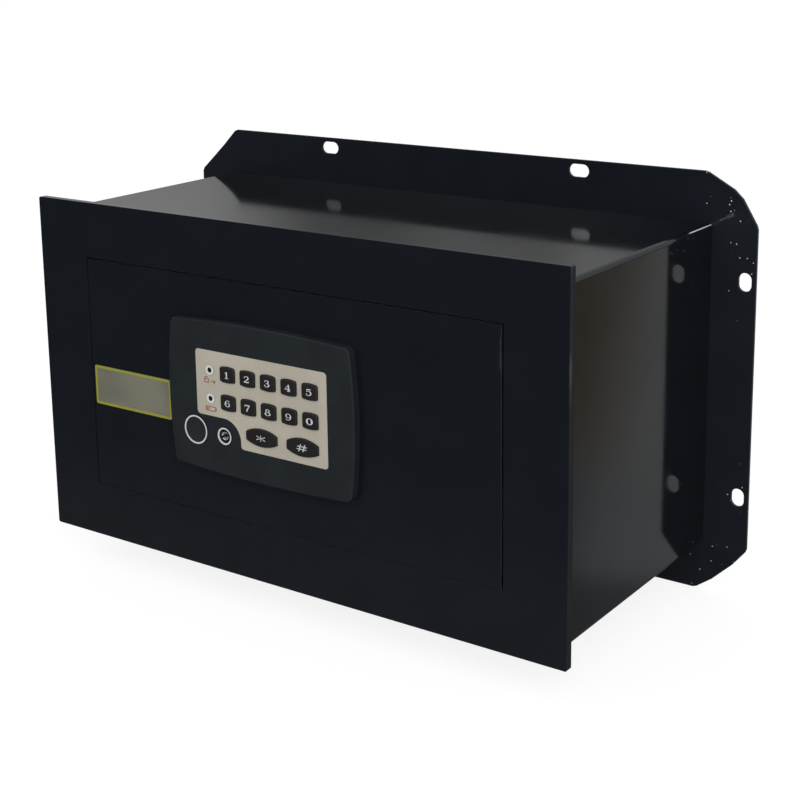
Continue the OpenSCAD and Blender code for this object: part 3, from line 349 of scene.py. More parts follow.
def plate_edge_glint(look):
    """Bare-steel colour along part of the plate's right-hand side face: a painted highlight that stands in
    for the glint on that edge.
    """
    lo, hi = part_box("front_plate")
    side = look.times(look.ramp(look.axis("X"), hi.x - 0.8 * MM, hi.x - 0.4 * MM),
                      look.ramp(look.axis("Y"), lo.y + 2.4 * MM, lo.y + 1.6 * MM))
    stretch = look.times(look.ramp(look.axis("Z"), 34 * MM, 52 * MM, 0.1, 1),
                         look.ramp(look.axis("Z"), 78 * MM, 60 * MM, 0.25, 1))
    broken_up = look.ramp(look.noise(70, 4), 0.3, 0.65, 0.02, 0.06)
    return look.times(side, stretch, broken_up)


def pale_door_edge_patch(look):
    """A paler patch of bare-steel colour near the top of the door's right-hand edge."""
    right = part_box("door_leaf")[1].x
    side = look.ramp(look.axis("X"), right - 1.6 * MM, right - 0.8 * MM)
    patch = look.band(look.axis("Z"), 52 * MM, 78 * MM, 8 * MM)
    broken_up = look.ramp(look.noise(160, 4), 0.35, 0.65, 0.01, 0.05)
    return look.times(side, patch, broken_up)


def fold_glint(look):
    """Bare-steel colour along the upper right fold of the body, just in front of the back plate: a painted
    highlight that stands in for the fold's glint there.
    """
    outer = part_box("body_shell")[1]
    diagonal = look.plus(look.axis("X"), look.axis("Z"))
    crest = outer.x + outer.z - 1.8 * MM
    on_fold = look.ramp(diagonal, crest - 0.02 * MM, crest + 0.02 * MM)
    near_plate = look.ramp(look.axis("Y"), outer.y - 36 * MM, outer.y - 30 * MM)
    broken_up = look.ramp(look.noise(110, 4, 0.6), 0.3, 0.45, 0.55, 1)
    return look.times(on_fold, near_plate, broken_up)


def seam_dust_and_fill(side_share):
    """Pale grey in the gap round the door, on the ledges that face up and the walls that face right: partly
    fine dust, partly painted fill light that lifts the gap's shade, most of it deeper in.
    """
    def mask(look):
        wall = look.ramp(look.larger(look.facing("X"), look.facing("Z")), 0.4, 0.6)
        ledge = look.ramp(look.facing("Z"), 0.4, 0.6)
        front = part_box("front_plate")[0].y
        deep = look.ramp(look.axis("Y"), front + 0.5 * MM, front + 4.5 * MM, 0.08, 1, smooth=False)
        share = look.blend(ledge, side_share, deep)
        patchy = look.ramp(look.noise(80, 3), 0.2, 0.6, 0.8, 1)
        return look.times(wall, look.minus(1.0, outer_rim(look)), share, patchy)
    return mask


def paint_spatter(look):
    """Small pale specks that gather towards the right-hand corners of the back plate, and a scuff."""
    right = look.ramp(look.axis("X"), 190 * MM, 205 * MM)
    corner = look.ramp(look.off_centre("Z"), 40 * MM, 70 * MM)
    few = look.ramp(look.noise(75, 2), 0.5, 0.56)
    speck = look.ramp(look.cells(230), 0.12, 0.08)
    return look.larger(look.times(right, corner, few, speck), scuff(look))


SCUFF_START = (209 * MM, 112 * MM)
SCUFF_SLOPE = math.radians(28)
SCUFF_LENGTH = 13.5 * MM


def scuff(look):
    """A faint scuff on the front of the flange, above the end of the body's upper right fold."""
    x, z = SCUFF_START
    level = look.node("VectorRotate", {"Vector": look.coord, "Center": (x, 0, z), "Angle": SCUFF_SLOPE},
                      rotation_type="Y_AXIS").outputs["Vector"]
    turned = look.split(level)
    along = look.minus(turned["X"], x)
    aside = look.magnitude(look.minus(turned["Z"], z))
    spread = look.ramp(along, 0, SCUFF_LENGTH, 0.6 * MM, 2 * MM)
    streak = look.ramp(look.math("DIVIDE", aside, spread), 1, 0.3)
    ends = look.times(look.ramp(along, 0, 2 * MM), look.ramp(along, SCUFF_LENGTH, SCUFF_LENGTH - 3 * MM))
    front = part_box("back_panel")[0].y
    on_front = look.ramp(look.axis("Y"), front + 1 * MM, front + 0.5 * MM)
    patchy = look.ramp(look.noise(330, 3, 0.6), 0.35, 0.7, 0.04, 0.15)
    return look.times(streak, ends, on_front, patchy)


# Other materials

def steel_look(name, colour, rough, stretch=(1, 1, 1), scale=500, stain=0.12, tint=None):
    """Bare or plated steel with drawn grain, faint stains and polished edges."""
    look = Look(name, metallic=1.0)
    grain = look.noise(scale, 4, 0.6, stretch)
    stains = look.ramp(look.noise(35, 4, 0.6), 0.5, 0.75)
    base = look.mix(look.times(stains, stain), look.varied(colour, 0.08, 60), tint or scaled(colour, 0.5))
    base = look.mix(look.times(look.edges(STEEL_WEAR), 0.4), base, scaled(colour, 1.25))
    return look.set(Base_Color=base, Roughness=look.ramp(grain, 0.3, 0.7, rough * 0.7, rough * 1.4),
                    Normal=look.bump(grain, 0.03 * MM, normal=look.rounded(STEEL_EDGE)))


def plastic_look(name, colour, rough, grain_scale=1800, grain=0.02 * MM, vary=0.08, specular=0.5, wear=0.35):
    """Moulded plastic or rubber: spark-eroded grain, handling shine and slightly paler edges."""
    look = Look(name, ior=1.46, specular=specular)
    pale_marks = look.times(look.edges(WEAR_RADIUS), wear)
    base = look.mix(pale_marks, look.varied(colour, vary, 45), scaled(colour, 1.6))
    height = look.plus(look.noise(grain_scale, 2, 0.5), look.times(look.cells(grain_scale * 0.6), 0.5))
    return look.set(Base_Color=base, Roughness=look.uneven(25, rough * 0.85, rough * 1.15, 4),
                    Normal=look.bump(height, grain, normal=look.soft_edges(EDGE_RADIUS)))


def board_look():
    """Printed circuit board: traces under green lacquer, with tinned pads."""
    look = Look("circuit_board", coat=0.4)
    upright = look.ramp(look.math("PINGPONG", look.axis("X"), 1.3 * MM), 0.4 * MM, 0.45 * MM)
    level = look.ramp(look.math("PINGPONG", look.axis("Z"), 1.7 * MM), 0.5 * MM, 0.55 * MM)
    trace = look.blend(look.ramp(look.noise(90, 1), 0.49, 0.51), upright, level)
    pads = look.times(look.ramp(look.cells(260), 0.13, 0.1), look.ramp(look.noise(70, 1), 0.52, 0.56))
    base = look.mix(trace, linear((38, 104, 62)), linear((18, 74, 42)))
    base = look.mix(pads, base, (0.5, 0.5, 0.48))
    return look.set(Base_Color=base, Roughness=look.uneven(300, 0.28, 0.42),
                    Normal=look.bump(look.minus(1.0, trace), 0.04 * MM, 0.6))


def battery_look():
    """Cells in a two-coloured printed sleeve with bright metal ends."""
    look = Look("cell_wrap", coat=0.3)
    lo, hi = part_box("batteries")
    middle, half = (lo.x + hi.x) / 2, (hi.x - lo.x) / 2
    from_middle = look.magnitude(look.minus(look.axis("X"), middle))
    metal = look.ramp(from_middle, half - 3.2 * MM, half - 3 * MM)
    second_colour = look.ramp(look.axis("X"), middle + 4 * MM, middle + 4.5 * MM)
    sleeve = look.mix(second_colour, linear((28, 52, 96)), linear((168, 96, 40)))
    sleeve = look.mix(look.ramp(look.noise(220, 3), 0.62, 0.7), sleeve, linear((190, 190, 190)))
    return look.set(Base_Color=look.mix(metal, sleeve, (0.62, 0.6, 0.56)), Metallic=metal,
                    Roughness=look.uneven(200, 0.22, 0.36, 4),
                    Normal=look.bump(look.noise(400, 3), 0.02 * MM, 0.4))


def wire_look():
    """Sleeves of flexible wire, each run in its own colour."""
    look = Look("wire_sleeve", ior=1.45)
    red_or_black = look.ramp(look.geometry["Random Per Island"], 0.49, 0.51)
    base = look.mix(red_or_black, linear((150, 26, 24)), linear((30, 30, 32)))
    base = look.mix(look.ramp(look.noise(60, 3), 0.55, 0.8, 0, 0.3), base, linear((110, 80, 70)))
    return look.set(Base_Color=base, Roughness=look.uneven(500, 0.38, 0.52),
                    Normal=look.bump(look.noise(900, 2), 0.02 * MM))


def badge_look():
    """Satin lacquered sheet: fine horizontal brushing and a slow drift of tone."""
    look = Look("badge_metal", metallic=0.25, coat=0.15)
    brushed = look.noise(900, 3, 0.6, (0.05, 1, 1))
    base = look.varied(linear((130, 130, 114)), 0.12, 28, 2)
    base = look.mix(look.ramp(look.noise(55, 3), 0.45, 0.8, 0, 0.5), base, linear((142, 128, 120)))
    return look.set(Base_Color=base, Roughness=look.ramp(brushed, 0.3, 0.7, 0.3, 0.48),
                    Normal=look.bump(brushed, 0.02 * MM, normal=look.rounded(PRINT_EDGE)))


def label_look():
    """Matte film: fine tooth, faint clouding, and grime gathered at its edges."""
    look = Look("label_film", ior=1.45, specular=0.4)
    grime = look.times(look.edges(0.9 * MM, 0.01, 0.3), look.ramp(look.noise(120, 4), 0.35, 0.7), 0.5)
    base = look.mix(grime, look.varied(linear((180, 174, 159)), 0.05, 40), linear((120, 112, 98)))
    base = look.mix(look.uneven(1500, 0, 0.12, 2), base, linear((150, 146, 136)))
    return look.set(Base_Color=base, Roughness=look.uneven(60, 0.46, 0.6),
                    Normal=look.bump(look.noise(2200, 2), 0.01 * MM))


def set_print(look, base, rough_low, rough_high):
    """The fine surface that all printed and enamelled marks share."""
    return look.set(Base_Color=base, Roughness=look.uneven(600, rough_low, rough_high),
                    Normal=look.bump(look.noise(1600, 2), 0.01 * MM, normal=look.rounded(PRINT_EDGE)))


def print_look(name, rgb, rough=0.4):
    """Ink or enamel with slightly uneven cover."""
    look = Look(name, ior=1.46)
    return set_print(look, look.varied(linear(rgb), 0.06, 260), rough * 0.8, rough * 1.2)


RING_MARGIN = 0.3 * MM
HOUSING_SHADE = (35, 41, 46)
FILM_SHADE = (176, 170, 156)


def ring_print_look(name, node, margin=HOUSING_SHADE):
    """White print on moulded rings one over another, with a thin plain margin showing outside it."""
    look = Look(name, ior=1.46)
    lo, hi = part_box(node)
    middle = (lo + hi) / 2
    outer = (hi.x - lo.x) / 2
    apart = (hi.z - lo.z) - (hi.x - lo.x)
    across = look.minus(look.axis("X"), middle.x)
    up = look.minus(look.magnitude(look.minus(look.axis("Z"), middle.z)), apart / 2)
    radius = look.math("SQRT", look.plus(look.times(across, across), look.times(up, up)))
    print_end = outer - RING_MARGIN
    plain = look.ramp(radius, print_end - 0.05 * MM, print_end + 0.05 * MM)
    base = look.mix(plain, look.varied(linear((208, 210, 210)), 0.05, 260), linear(margin))
    return set_print(look, base, 0.34, 0.5)


def lens_look():
    """Dark red lamp lens with a moulded facet pattern under a glossy face."""
    look = Look("dark_lens", coat=0.6, coat_rough=0.05)
    facets = look.cells(1500)
    base = look.mix(look.ramp(facets, 0.1, 0.6), linear((58, 20, 18)), linear((22, 12, 12)))
    return look.set(Base_Color=base, Roughness=look.uneven(400, 0.18, 0.3),
                    Normal=look.bump(facets, 0.05 * MM, normal=look.rounded(WEAR_RADIUS)))


SMOOTH_PLASTIC = {"vary": 0.1, "specular": 0.3, "wear": 0.05}

# Looks by material slot
LOOKS = {
    "black_paint": paint_look("black_paint", BLACK_PAINT, 0.13),
    "inner_paint": paint_look("inner_paint", (0.012, 0.013, 0.015), 0.42, 0.04 * MM, 1500, chips=0.7),
    "dark_steel": paint_look("dark_steel", (0.02, 0.02, 0.022), 0.35, 0.03 * MM, 900, chips=0.56),
    "zinc_steel": steel_look("zinc_steel", (0.6, 0.61, 0.63), 0.3, tint=(0.45, 0.43, 0.36)),
    "bolt_steel": steel_look("bolt_steel", (0.72, 0.73, 0.75), 0.2, (8, 0.4, 0.4), 260),
    "chrome_trim": steel_look("chrome_trim", (0.78, 0.79, 0.8), 0.1, scale=300, stain=0.05),
    "brass_fittings": steel_look("brass_fittings", (0.68, 0.5, 0.24), 0.24, (0.4, 6, 0.4), 300),
    "badge_metal": badge_look(),
    "housing_plastic": plastic_look("housing_plastic", linear((32, 38, 42)), 0.5, **SMOOTH_PLASTIC),
    "label_film": label_look(),
    "key_rubber": plastic_look("key_rubber", linear((35, 31, 31)), 0.5, 1500, vary=0.14, specular=0.4),
    "dark_lens": lens_look(),
    "black_plastic": plastic_look("black_plastic", (0.014, 0.014, 0.015), 0.45, 1300, 0.04 * MM),
    "gear_plastic": plastic_look("gear_plastic", (0.62, 0.58, 0.46), 0.4, 1200),
    "red_plastic": plastic_look("red_plastic", (0.42, 0.02, 0.02), 0.3, 1600, 0.01 * MM),
    "circuit_board": board_look(),
    "cell_wrap": battery_look(),
    "wire_sleeve": wire_look(),
}

# Looks of single nodes, in place of their slot's
NODE_LOOKS = {
    # Body: bare-steel colour on its upper right fold near the back plate is a painted highlight standing in
    # for the fold's glint
    "body_shell": paint_look("body_paint", (0.0036, 0.0056, 0.0076), 0.08, pale_marks=fold_glint, sweep=drawn_up,
                             lined=True),
    # Back plate: the black paint made about one and a half times lighter, painted light that makes up for
    # the shade beside the body; its specks and scuff are real marks
    "back_panel": paint_look("back_plate_paint_lightened", (0.0098, 0.0126, 0.0178), 0.2, pale_marks=paint_spatter,
                             lined=True),
    # Front plate: bare-steel colour on part of its right-hand side face is a painted highlight; pale grey in
    # the door gap is partly dust, partly painted fill light
    "front_plate": paint_look("front_paint", BLACK_PAINT, 0.13, pale_marks=plate_edge_glint, dust_and_fill=seam_dust_and_fill(0.05),
                              dull=sawn_side),
    # Door: a pale patch near the top of its right-hand edge; pale grey in the door gap is partly dust,
    # partly painted fill light
    "door_leaf": paint_look("door_paint", BLACK_PAINT, 0.13, pale_marks=pale_door_edge_patch, dust_and_fill=seam_dust_and_fill(1.0)),
    "cap_ring": ring_print_look("cap_ring_print", "cap_ring"),
    "socket_ring": ring_print_look("socket_ring_print", "socket_ring"),
    "lamp_rings": ring_print_look("lamp_ring_print", "lamp_rings", FILM_SHADE),
    "lock_cap": plastic_look("cap_plastic", linear((38, 40, 43)), 0.5, **SMOOTH_PLASTIC),
    # Power socket: all near-black, real for its insulating face and painted shade for the metal pin and bore
    # deep in the hole
    "power_socket": plastic_look("socket_plastic_and_shade", (0.006, 0.006, 0.007), 0.4),
}

# Looks of the pieces that are added here
KEY_PRINT = print_look("key_print", (199, 204, 207), 0.45)
BADGE_BORDER = print_look("badge_border", (150, 148, 46), 0.35)
CAPTION_PRINT = print_look("caption_print", (146, 88, 76), 0.5)
SLEEVE_STEEL = steel_look("sleeve_steel", (0.85, 0.85, 0.85), 0.3, scale=300, stain=0.05).set(Metallic=0.55)


def dress_nodes():
    slot_of = {part["node"]: part["material_slot"] for part in frame["record"]["subparts"]}
    for name, piece in frame["nodes"].items():
        look = NODE_LOOKS.get(name) or LOOKS[slot_of[name]]
        piece.data.materials.clear()
        piece.data.materials.append(look.material)
        for face in piece.data.polygons:
            face.material_index = 0


# Flat printed shapes, drawn in millimetres in X and Z

def curve_through(points, steps=6):
    """Smooth line through points of x, z and width, as a cubic from each point to the next."""
    padded = [points[0], *points, points[-1]]
    line = []
    for a, b, c, d in zip(padded, padded[1:], padded[2:], padded[3:]):
        for i in range(steps):
            t = i / steps
            line.append(tuple(0.5 * (2 * q + (r - p) * t + (2 * p - 5 * q + 4 * r - s) * t ** 2
                                     + (3 * q - p - 3 * r + s) * t ** 3) for p, q, r, s in zip(a, b, c, d)))
    line.append(tuple(points[-1]))
    return line


def ribbon_outline(points, round_ends):
    """Outline of a stroke along points of x, z and width."""
    line = curve_through(points) if len(points) > 2 else points
    left, right = [], []
    for i, (x, z, width) in enumerate(line):
        before = line[max(i - 1, 0)]
        after = line[min(i + 1, len(line) - 1)]
        run = Vector((after[0] - before[0], after[1] - before[1])).normalized()
        side = Vector((-run.y, run.x)) * width / 2
        left.append((x + side.x, z + side.y))
        right.append((x - side.x, z - side.y))
    if not round_ends:
        return left + right[::-1]

    def cap(centre, start):
        arm = Vector((start[0] - centre[0], start[1] - centre[1]))
        turned = (Matrix.Rotation(-math.pi * k / 6, 2) @ arm for k in range(1, 6))
        return [(centre[0] + v.x, centre[1] + v.y) for v in turned]

    return left + cap(line[-1], left[-1]) + right[::-1] + cap(line[0], right[0])


def mesh_of(name, bm):
    """A mesh from closed solids, with all faces looking out."""
    bmesh.ops.recalc_face_normals(bm, faces=bm.faces)
    mesh = bpy.data.meshes.new(name)
    bm.to_mesh(mesh)
    bm.free()
    return mesh


def prism(outlines, y_front, y_back):
    """Closed solid over an outline, or over a ring between an outer and an inner outline."""
    bm = bmesh.new()
    loops = [[[bm.verts.new((x * MM, y, z * MM)) for x, z in outline] for y in (y_front, y_back)]
             for outline in outlines]
    if len(loops) == 1:
        front, back = loops[0]
        bm.faces.new(front)
        bm.faces.new(back[::-1])
    else:
        for level in (0, 1):
            outer, inner = loops[0][level], loops[1][level]
            for i in range(len(outer)):
                j = (i + 1) % len(outer)
                bm.faces.new((outer[i], outer[j], inner[j], inner[i]))
    for front, back in loops:
        for i in range(len(front)):
            j = (i + 1) % len(front)
            bm.faces.new((front[i], front[j], back[j], back[i]))
    return mesh_of("prism", bm)


def ellipse(cx, cz, rx, rz, count=40):
    return [(cx + rx * math.cos(2 * math.pi * i / count), cz + rz * math.sin(2 * math.pi * i / count))
            for i in range(count)]


def round_rect(cx, cz, w, h, r, steps=5):
    """Outline of a rectangle with corners of radius r."""
    points = []
    for quarter, (sx, sz) in enumerate(((1, 1), (-1, 1), (-1, -1), (1, -1))):
        for i in range(steps + 1):
            angle = math.radians(90 * quarter + 90 * i / steps)
            points.append((cx + sx * (w / 2 - r) + r * math.cos(angle),
                           cz + sz * (h / 2 - r) + r * math.sin(angle)))
    return points


def add_piece(name, mesh, look, body):
    """Adds a mesh that rides on a body, with the given look."""
    piece = bpy.data.objects.new(name, mesh)
    scene.collection.objects.link(piece)
    piece.data.materials.append(look.material)
    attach(piece, body)


def united(meshes):
    """One mesh from overlapping closed solids."""
    objects = []
    for mesh in meshes:
        item = bpy.data.objects.new("stroke", mesh)
        scene.collection.objects.link(item)
        objects.append(item)
    base = objects[0]
    for other in objects[1:]:
        union = base.modifiers.new("union", "BOOLEAN")
        union.operation = "UNION"
        union.solver = "EXACT"
        union.object = other
    graph = bpy.context.evaluated_depsgraph_get()
    mesh = bpy.data.meshes.new_from_object(base.evaluated_get(graph))
    for item in objects:
        bpy.data.objects.remove(item)
    return mesh


PRINT_SUNK = 0.1 * MM
FRAME_CORNER = 0.1


def stroke_outlines(kind, data, cx, cz, size, weight):
    """Outlines of one stroke: a ring, a rounded frame, or a line with flat or round ends."""
    if kind == "ring":
        x, z, rx, rz = (v * size for v in data[:4])
        side, top = (v * size * weight for v in data[4:])
        return [ellipse(cx + x, cz + z, rx + s * side / 2, rz + s * top / 2) for s in (1, -1)]
    if kind == "frame":
        x, z, w, h, r, line = (v * size for v in data)
        return [round_rect(cx + x, cz + z, w - 2 * inset, h - 2 * inset, max(r - inset, FRAME_CORNER))
                for inset in (0, line)]
    outline = ribbon_outline([(x * size, z * size, w * size * weight) for x, z, w in data], kind == "round")
    return [[(cx + x, cz + z) for x, z in outline]]


def printed(name, strokes, centre, y_face, look, body, proud=0.03, size=1.0, weight=1.0):
    """Print made of strokes round a centre, standing a hair proud of the face at y_face."""
    meshes = [prism(stroke_outlines(kind, data, centre.x / MM, centre.z / MM, size, weight),
                    y_face - proud * MM, y_face + PRINT_SUNK) for kind, data in strokes]
    add_piece(name, united(meshes), look, body)


# Strokes as kind and data. A line is points of x, z and width. A ring is x, z, the two radii, and
# the line's width at its sides and at its top. A frame is x, z, width, height, corner and line.

SIX = [("round", [(1.5, 1.55, 0.75), (0.9, 1.95, 0.45), (0.0, 2.0, 0.35), (-1.15, 1.35, 0.75),
                  (-1.7, -0.2, 1.25), (-1.25, -1.55, 0.8), (0, -2.1, 0.4), (1.25, -1.6, 0.8),
                  (1.65, -0.75, 1.15), (1.15, 0.15, 0.75), (0.1, 0.5, 0.35), (-1.0, 0.0, 0.4)])]
GLYPHS = {
    "1": [("flat", [(0.1, -2.15, 1.3), (0.1, 2.2, 1.3)]),
          ("flat", [(0.3, 2.05, 0.5), (-1.3, 1.35, 0.45)]),
          ("flat", [(-1.45, -2.05, 0.45), (1.65, -2.05, 0.45)])],
    "2": [("round", [(-1.5, 1.15, 1.0), (-1.25, 1.8, 0.5), (-0.2, 2.05, 0.4), (1.05, 1.75, 0.85),
                     (1.45, 0.95, 1.25), (0.8, 0.0, 0.95), (-0.7, -0.95, 0.55), (-1.85, -1.75, 0.4)]),
          ("flat", [(-2.05, -1.75, 0.9), (0.2, -1.8, 0.9), (1.55, -1.75, 0.8), (2.1, -1.0, 0.3)])],
    "3": [("round", [(-1.45, 1.3, 0.95), (-1.0, 1.9, 0.5), (0, 2.05, 0.4), (1.15, 1.7, 0.9),
                     (1.35, 1.1, 1.15), (0.75, 0.45, 0.65), (-0.4, 0.25, 0.4)]),
          ("round", [(-0.4, 0.25, 0.4), (0.95, -0.05, 0.7), (1.7, -0.85, 1.3), (1.15, -1.7, 0.9),
                     (0, -2.1, 0.4), (-1.15, -1.95, 0.55), (-1.7, -1.25, 1.0)])],
    "4": [("flat", [(0.95, 2.2, 0.4), (-2.05, -0.65, 0.4)]),
          ("flat", [(-2.2, -0.85, 0.6), (2.2, -0.85, 0.6)]),
          ("flat", [(0.85, 2.2, 1.35), (0.85, -2.2, 1.35)]),
          ("flat", [(-0.4, -2.05, 0.4), (2.1, -2.05, 0.4)])],
    "5": [("flat", [(-1.45, 1.75, 0.9), (0.5, 1.75, 0.85), (1.75, 2.05, 0.55)]),
          ("flat", [(-1.35, 1.9, 0.4), (-1.5, 0.1, 0.4)]),
          ("round", [(-1.5, 0.2, 0.35), (-0.2, 0.75, 0.4), (1.2, 0.35, 0.9), (1.7, -0.6, 1.3),
                     (1.1, -1.6, 0.9), (-0.1, -2.1, 0.4), (-1.25, -1.95, 0.55), (-1.7, -1.3, 1.0)])],
    "6": SIX,
    "7": [("flat", [(-2.1, 1.7, 0.95), (2.2, 1.75, 0.85)]),
          ("flat", [(-1.95, 1.9, 0.4), (-2.15, 0.65, 0.4)]),
          ("flat", [(2.0, 1.7, 0.5), (0.7, 0.1, 0.85), (-0.15, -1.2, 1.2), (-0.35, -2.2, 1.4)])],
    "8": [("ring", (0, 1.1, 1.35, 0.92, 1.05, 0.4)),
          ("ring", (0, -0.98, 1.85, 1.1, 1.35, 0.4))],
    "9": [("round", [(-x * 1.08, -z, w) for x, z, w in SIX[0][1]])],
    "0": [("ring", (0, 0, 2.0, 2.0, 1.75, 0.45))],
    "star": [("round", [(0, -1.85, 0.65), (0, 0, 0.35), (0, 1.85, 0.65)]),
             ("round", [(-3.3, -1.15, 0.75), (0, 0, 0.35), (3.3, 1.15, 0.75)]),
             ("round", [(-3.3, 1.15, 0.75), (0, 0, 0.35), (3.3, -1.15, 0.75)])],
    "hash": [("flat", [(-2.4, -2.4, 0.95), (-0.7, 2.4, 0.95)]),
             ("flat", [(0.9, -2.4, 0.95), (2.6, 2.4, 0.95)]),
             ("flat", [(-3.5, 0.85, 0.7), (4.2, 0.85, 0.7)]),
             ("flat", [(-4.0, -0.85, 0.7), (3.7, -0.85, 0.7)])],
}
GLYPH_WEIGHT = 0.82


def print_keys():
    for mark, strokes in GLYPHS.items():
        lo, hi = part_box("key_" + mark)
        printed("print_" + mark, strokes, (lo + hi) / 2, lo.y, KEY_PRINT, "button_" + mark,
                weight=GLYPH_WEIGHT)


OPEN_PADLOCK = [("frame", (-2.2, -0.35, 3.6, 2.3, 0.4, 0.5)),
                ("flat", [(-3.3, 0.7, 0.5), (-3.3, 1.3, 0.5), (-2.7, 1.8, 0.5), (-1.8, 1.8, 0.5),
                          (-1.3, 1.4, 0.5)]),
                ("flat", [(0.9, -0.4, 0.5), (3.9, -0.4, 0.5)]),
                ("flat", [(2.8, 0.75, 0.5), (4.1, -0.5, 0.5)]),
                ("flat", [(2.8, -1.55, 0.5), (4.1, -0.3, 0.5)])]
LOW_CELL = [("frame", (0.1, 0, 7.2, 2.8, 0.4, 0.5)),
            ("flat", [(3.6, 0, 1.3), (4.4, 0, 1.3)]),
            ("flat", [(-2.9, 0, 1.5), (-2.2, 0, 1.5)]),
            ("flat", [(-1.6, 0, 1.5), (-0.9, 0, 1.5)])]
LENS_ACROSS = 3.4 * MM
CAPTION_BELOW = 8.8 * MM
CAPTION_LEFT = 0.4 * MM
CAPTION_SIZE = 1.2


def print_label():
    """A small symbol under each lamp."""
    lo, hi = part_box("status_lamps")
    label_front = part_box("keypad_label")[0].y
    x = (lo.x + hi.x) / 2 - CAPTION_LEFT
    captions = (("caption_open", OPEN_PADLOCK, hi.z), ("caption_battery", LOW_CELL, lo.z + LENS_ACROSS))
    for name, strokes, lamp_top in captions:
        centre = Vector((x, 0, lamp_top - CAPTION_BELOW))
        printed(name, strokes, centre, label_front, CAPTION_PRINT, "door", size=CAPTION_SIZE)


# Lengths in millimetres
BORDER_INSET, BORDER_CORNER, BORDER_LINE, BORDER_PROUD = 0.05, 1.5, 1.8, 0.06


def dress_badge():
    """The printed border round the bare badge."""
    lo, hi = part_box("badge_plate")
    width, height = (side / MM - 2 * BORDER_INSET for side in (hi.x - lo.x, hi.z - lo.z))
    border = [("frame", (0, 0, width, height, BORDER_CORNER, BORDER_LINE))]
    printed("badge_border", border, (lo + hi) / 2, lo.y, BADGE_BORDER, "door",
            proud=BORDER_PROUD)


# Lengths in millimetres, the slots between the leaves and their turn in degrees
SLEEVE_RADIUS, SLEEVE_WALL, SLEEVE_RECESS, SLEEVE_DEPTH = 2.95, 0.7, 0.15, 6
SLEEVE_LEAVES = 4
SLEEVE_SLOT = 34
SLEEVE_TURN = 20
LEAF_STEPS = 6


def fill_socket():
    """Slotted contact sleeve with a rounded mouth inside the socket's bore."""
    lo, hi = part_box("power_socket")
    middle = (lo + hi) / 2
    half_wall = SLEEVE_WALL / 2
    mouth = [math.radians(a) for a in range(0, 181, 30)]
    profile = [(SLEEVE_RADIUS, SLEEVE_DEPTH),
               *((SLEEVE_RADIUS - half_wall + half_wall * math.cos(a),
                  SLEEVE_RECESS + half_wall * (1 - math.sin(a))) for a in mouth),
               (SLEEVE_RADIUS - SLEEVE_WALL, SLEEVE_DEPTH)]
    leaf = 360 / SLEEVE_LEAVES
    bm = bmesh.new()
    for number in range(SLEEVE_LEAVES):
        start = leaf * number + SLEEVE_SLOT / 2 + SLEEVE_TURN
        rings = []
        for i in range(LEAF_STEPS + 1):
            angle = math.radians(start + (leaf - SLEEVE_SLOT) * i / LEAF_STEPS)
            rings.append([bm.verts.new((middle.x + r * MM * math.cos(angle), lo.y + y * MM,
                                        middle.z + r * MM * math.sin(angle))) for r, y in profile])
        for ring, after in zip(rings, rings[1:]):
            for i in range(len(profile)):
                j = (i + 1) % len(profile)
                bm.faces.new((ring[i], ring[j], after[j], after[i]))
        bm.faces.new(rings[0])
        bm.faces.new(rings[-1][::-1])
    add_piece("socket_sleeve", mesh_of("socket_sleeve", bm), SLEEVE_STEEL, "door")


# Studio

DIFFUSE_SKY = 0.68
SEEN_SKY = 1.0
THROUGH_SKY = 0.9
DARK_FRONT = 0.045
WARM = (1.08, 0.85, 0.55)


def mirrored_room(nodes, x, y, z, beside):
    """Strength of the room that the glossy paint mirrors, by the ray's unit direction.

    beside is 1 low down and far to the right, where the safe's side mirrors the floor next to it.
    """
    # Behind the safe: a wall that brightens in steps to both sides, with a pale band high up
    wall = nodes.plus(nodes.ramp(x, -0.58, -0.53, 0.165, 0.24), nodes.ramp(x, -0.6, -0.67, 0.0, 0.34),
                      nodes.ramp(x, -0.485, -0.455, 0.0, 0.12), nodes.ramp(x, 0.2, 0.6, 0.0, 0.2))
    high_band = nodes.times(nodes.ramp(z, 0.28, 0.37, 0.0, 0.5), nodes.ramp(x, -0.38, -0.27))
    wall = nodes.larger(wall, high_band)
    # Its ground: dim close by, darker towards the right, and open again at both ends
    ground = nodes.times(nodes.ramp(z, -0.413, -0.397, 0.155, 0.35), nodes.ramp(z, -0.36, -0.3, 1.0, 1.15))
    shaded = nodes.larger(beside, nodes.ramp(x, 0.424, 0.446, 0.0, 0.75))
    ground = nodes.times(ground, nodes.ramp(shaded, 0.0, 1.0, 1.0, 0.48))
    ground = nodes.plus(ground, nodes.ramp(x, 0.62, 0.8, 0.0, 0.4), nodes.ramp(x, -0.68, -0.85, 0.0, 0.4))
    back = nodes.blend(nodes.ramp(z, -0.08, 0.02), ground, wall)
    # In front: almost dark, a little paler low down, with light from the far right
    tilted = nodes.plus(z, nodes.times(x, 0.26))
    front = nodes.plus(nodes.ramp(tilted, -0.505, -0.53, DARK_FRONT, DARK_FRONT + 0.085),
                       nodes.ramp(nodes.minus(x, y), 0.85, 1.15, 0.0, 0.4))
    overhead = nodes.ramp(z, 0.6, 0.85, 0.0, 0.5)
    return nodes.plus(nodes.blend(nodes.ramp(y, 0.0, 0.5), front, back), overhead)


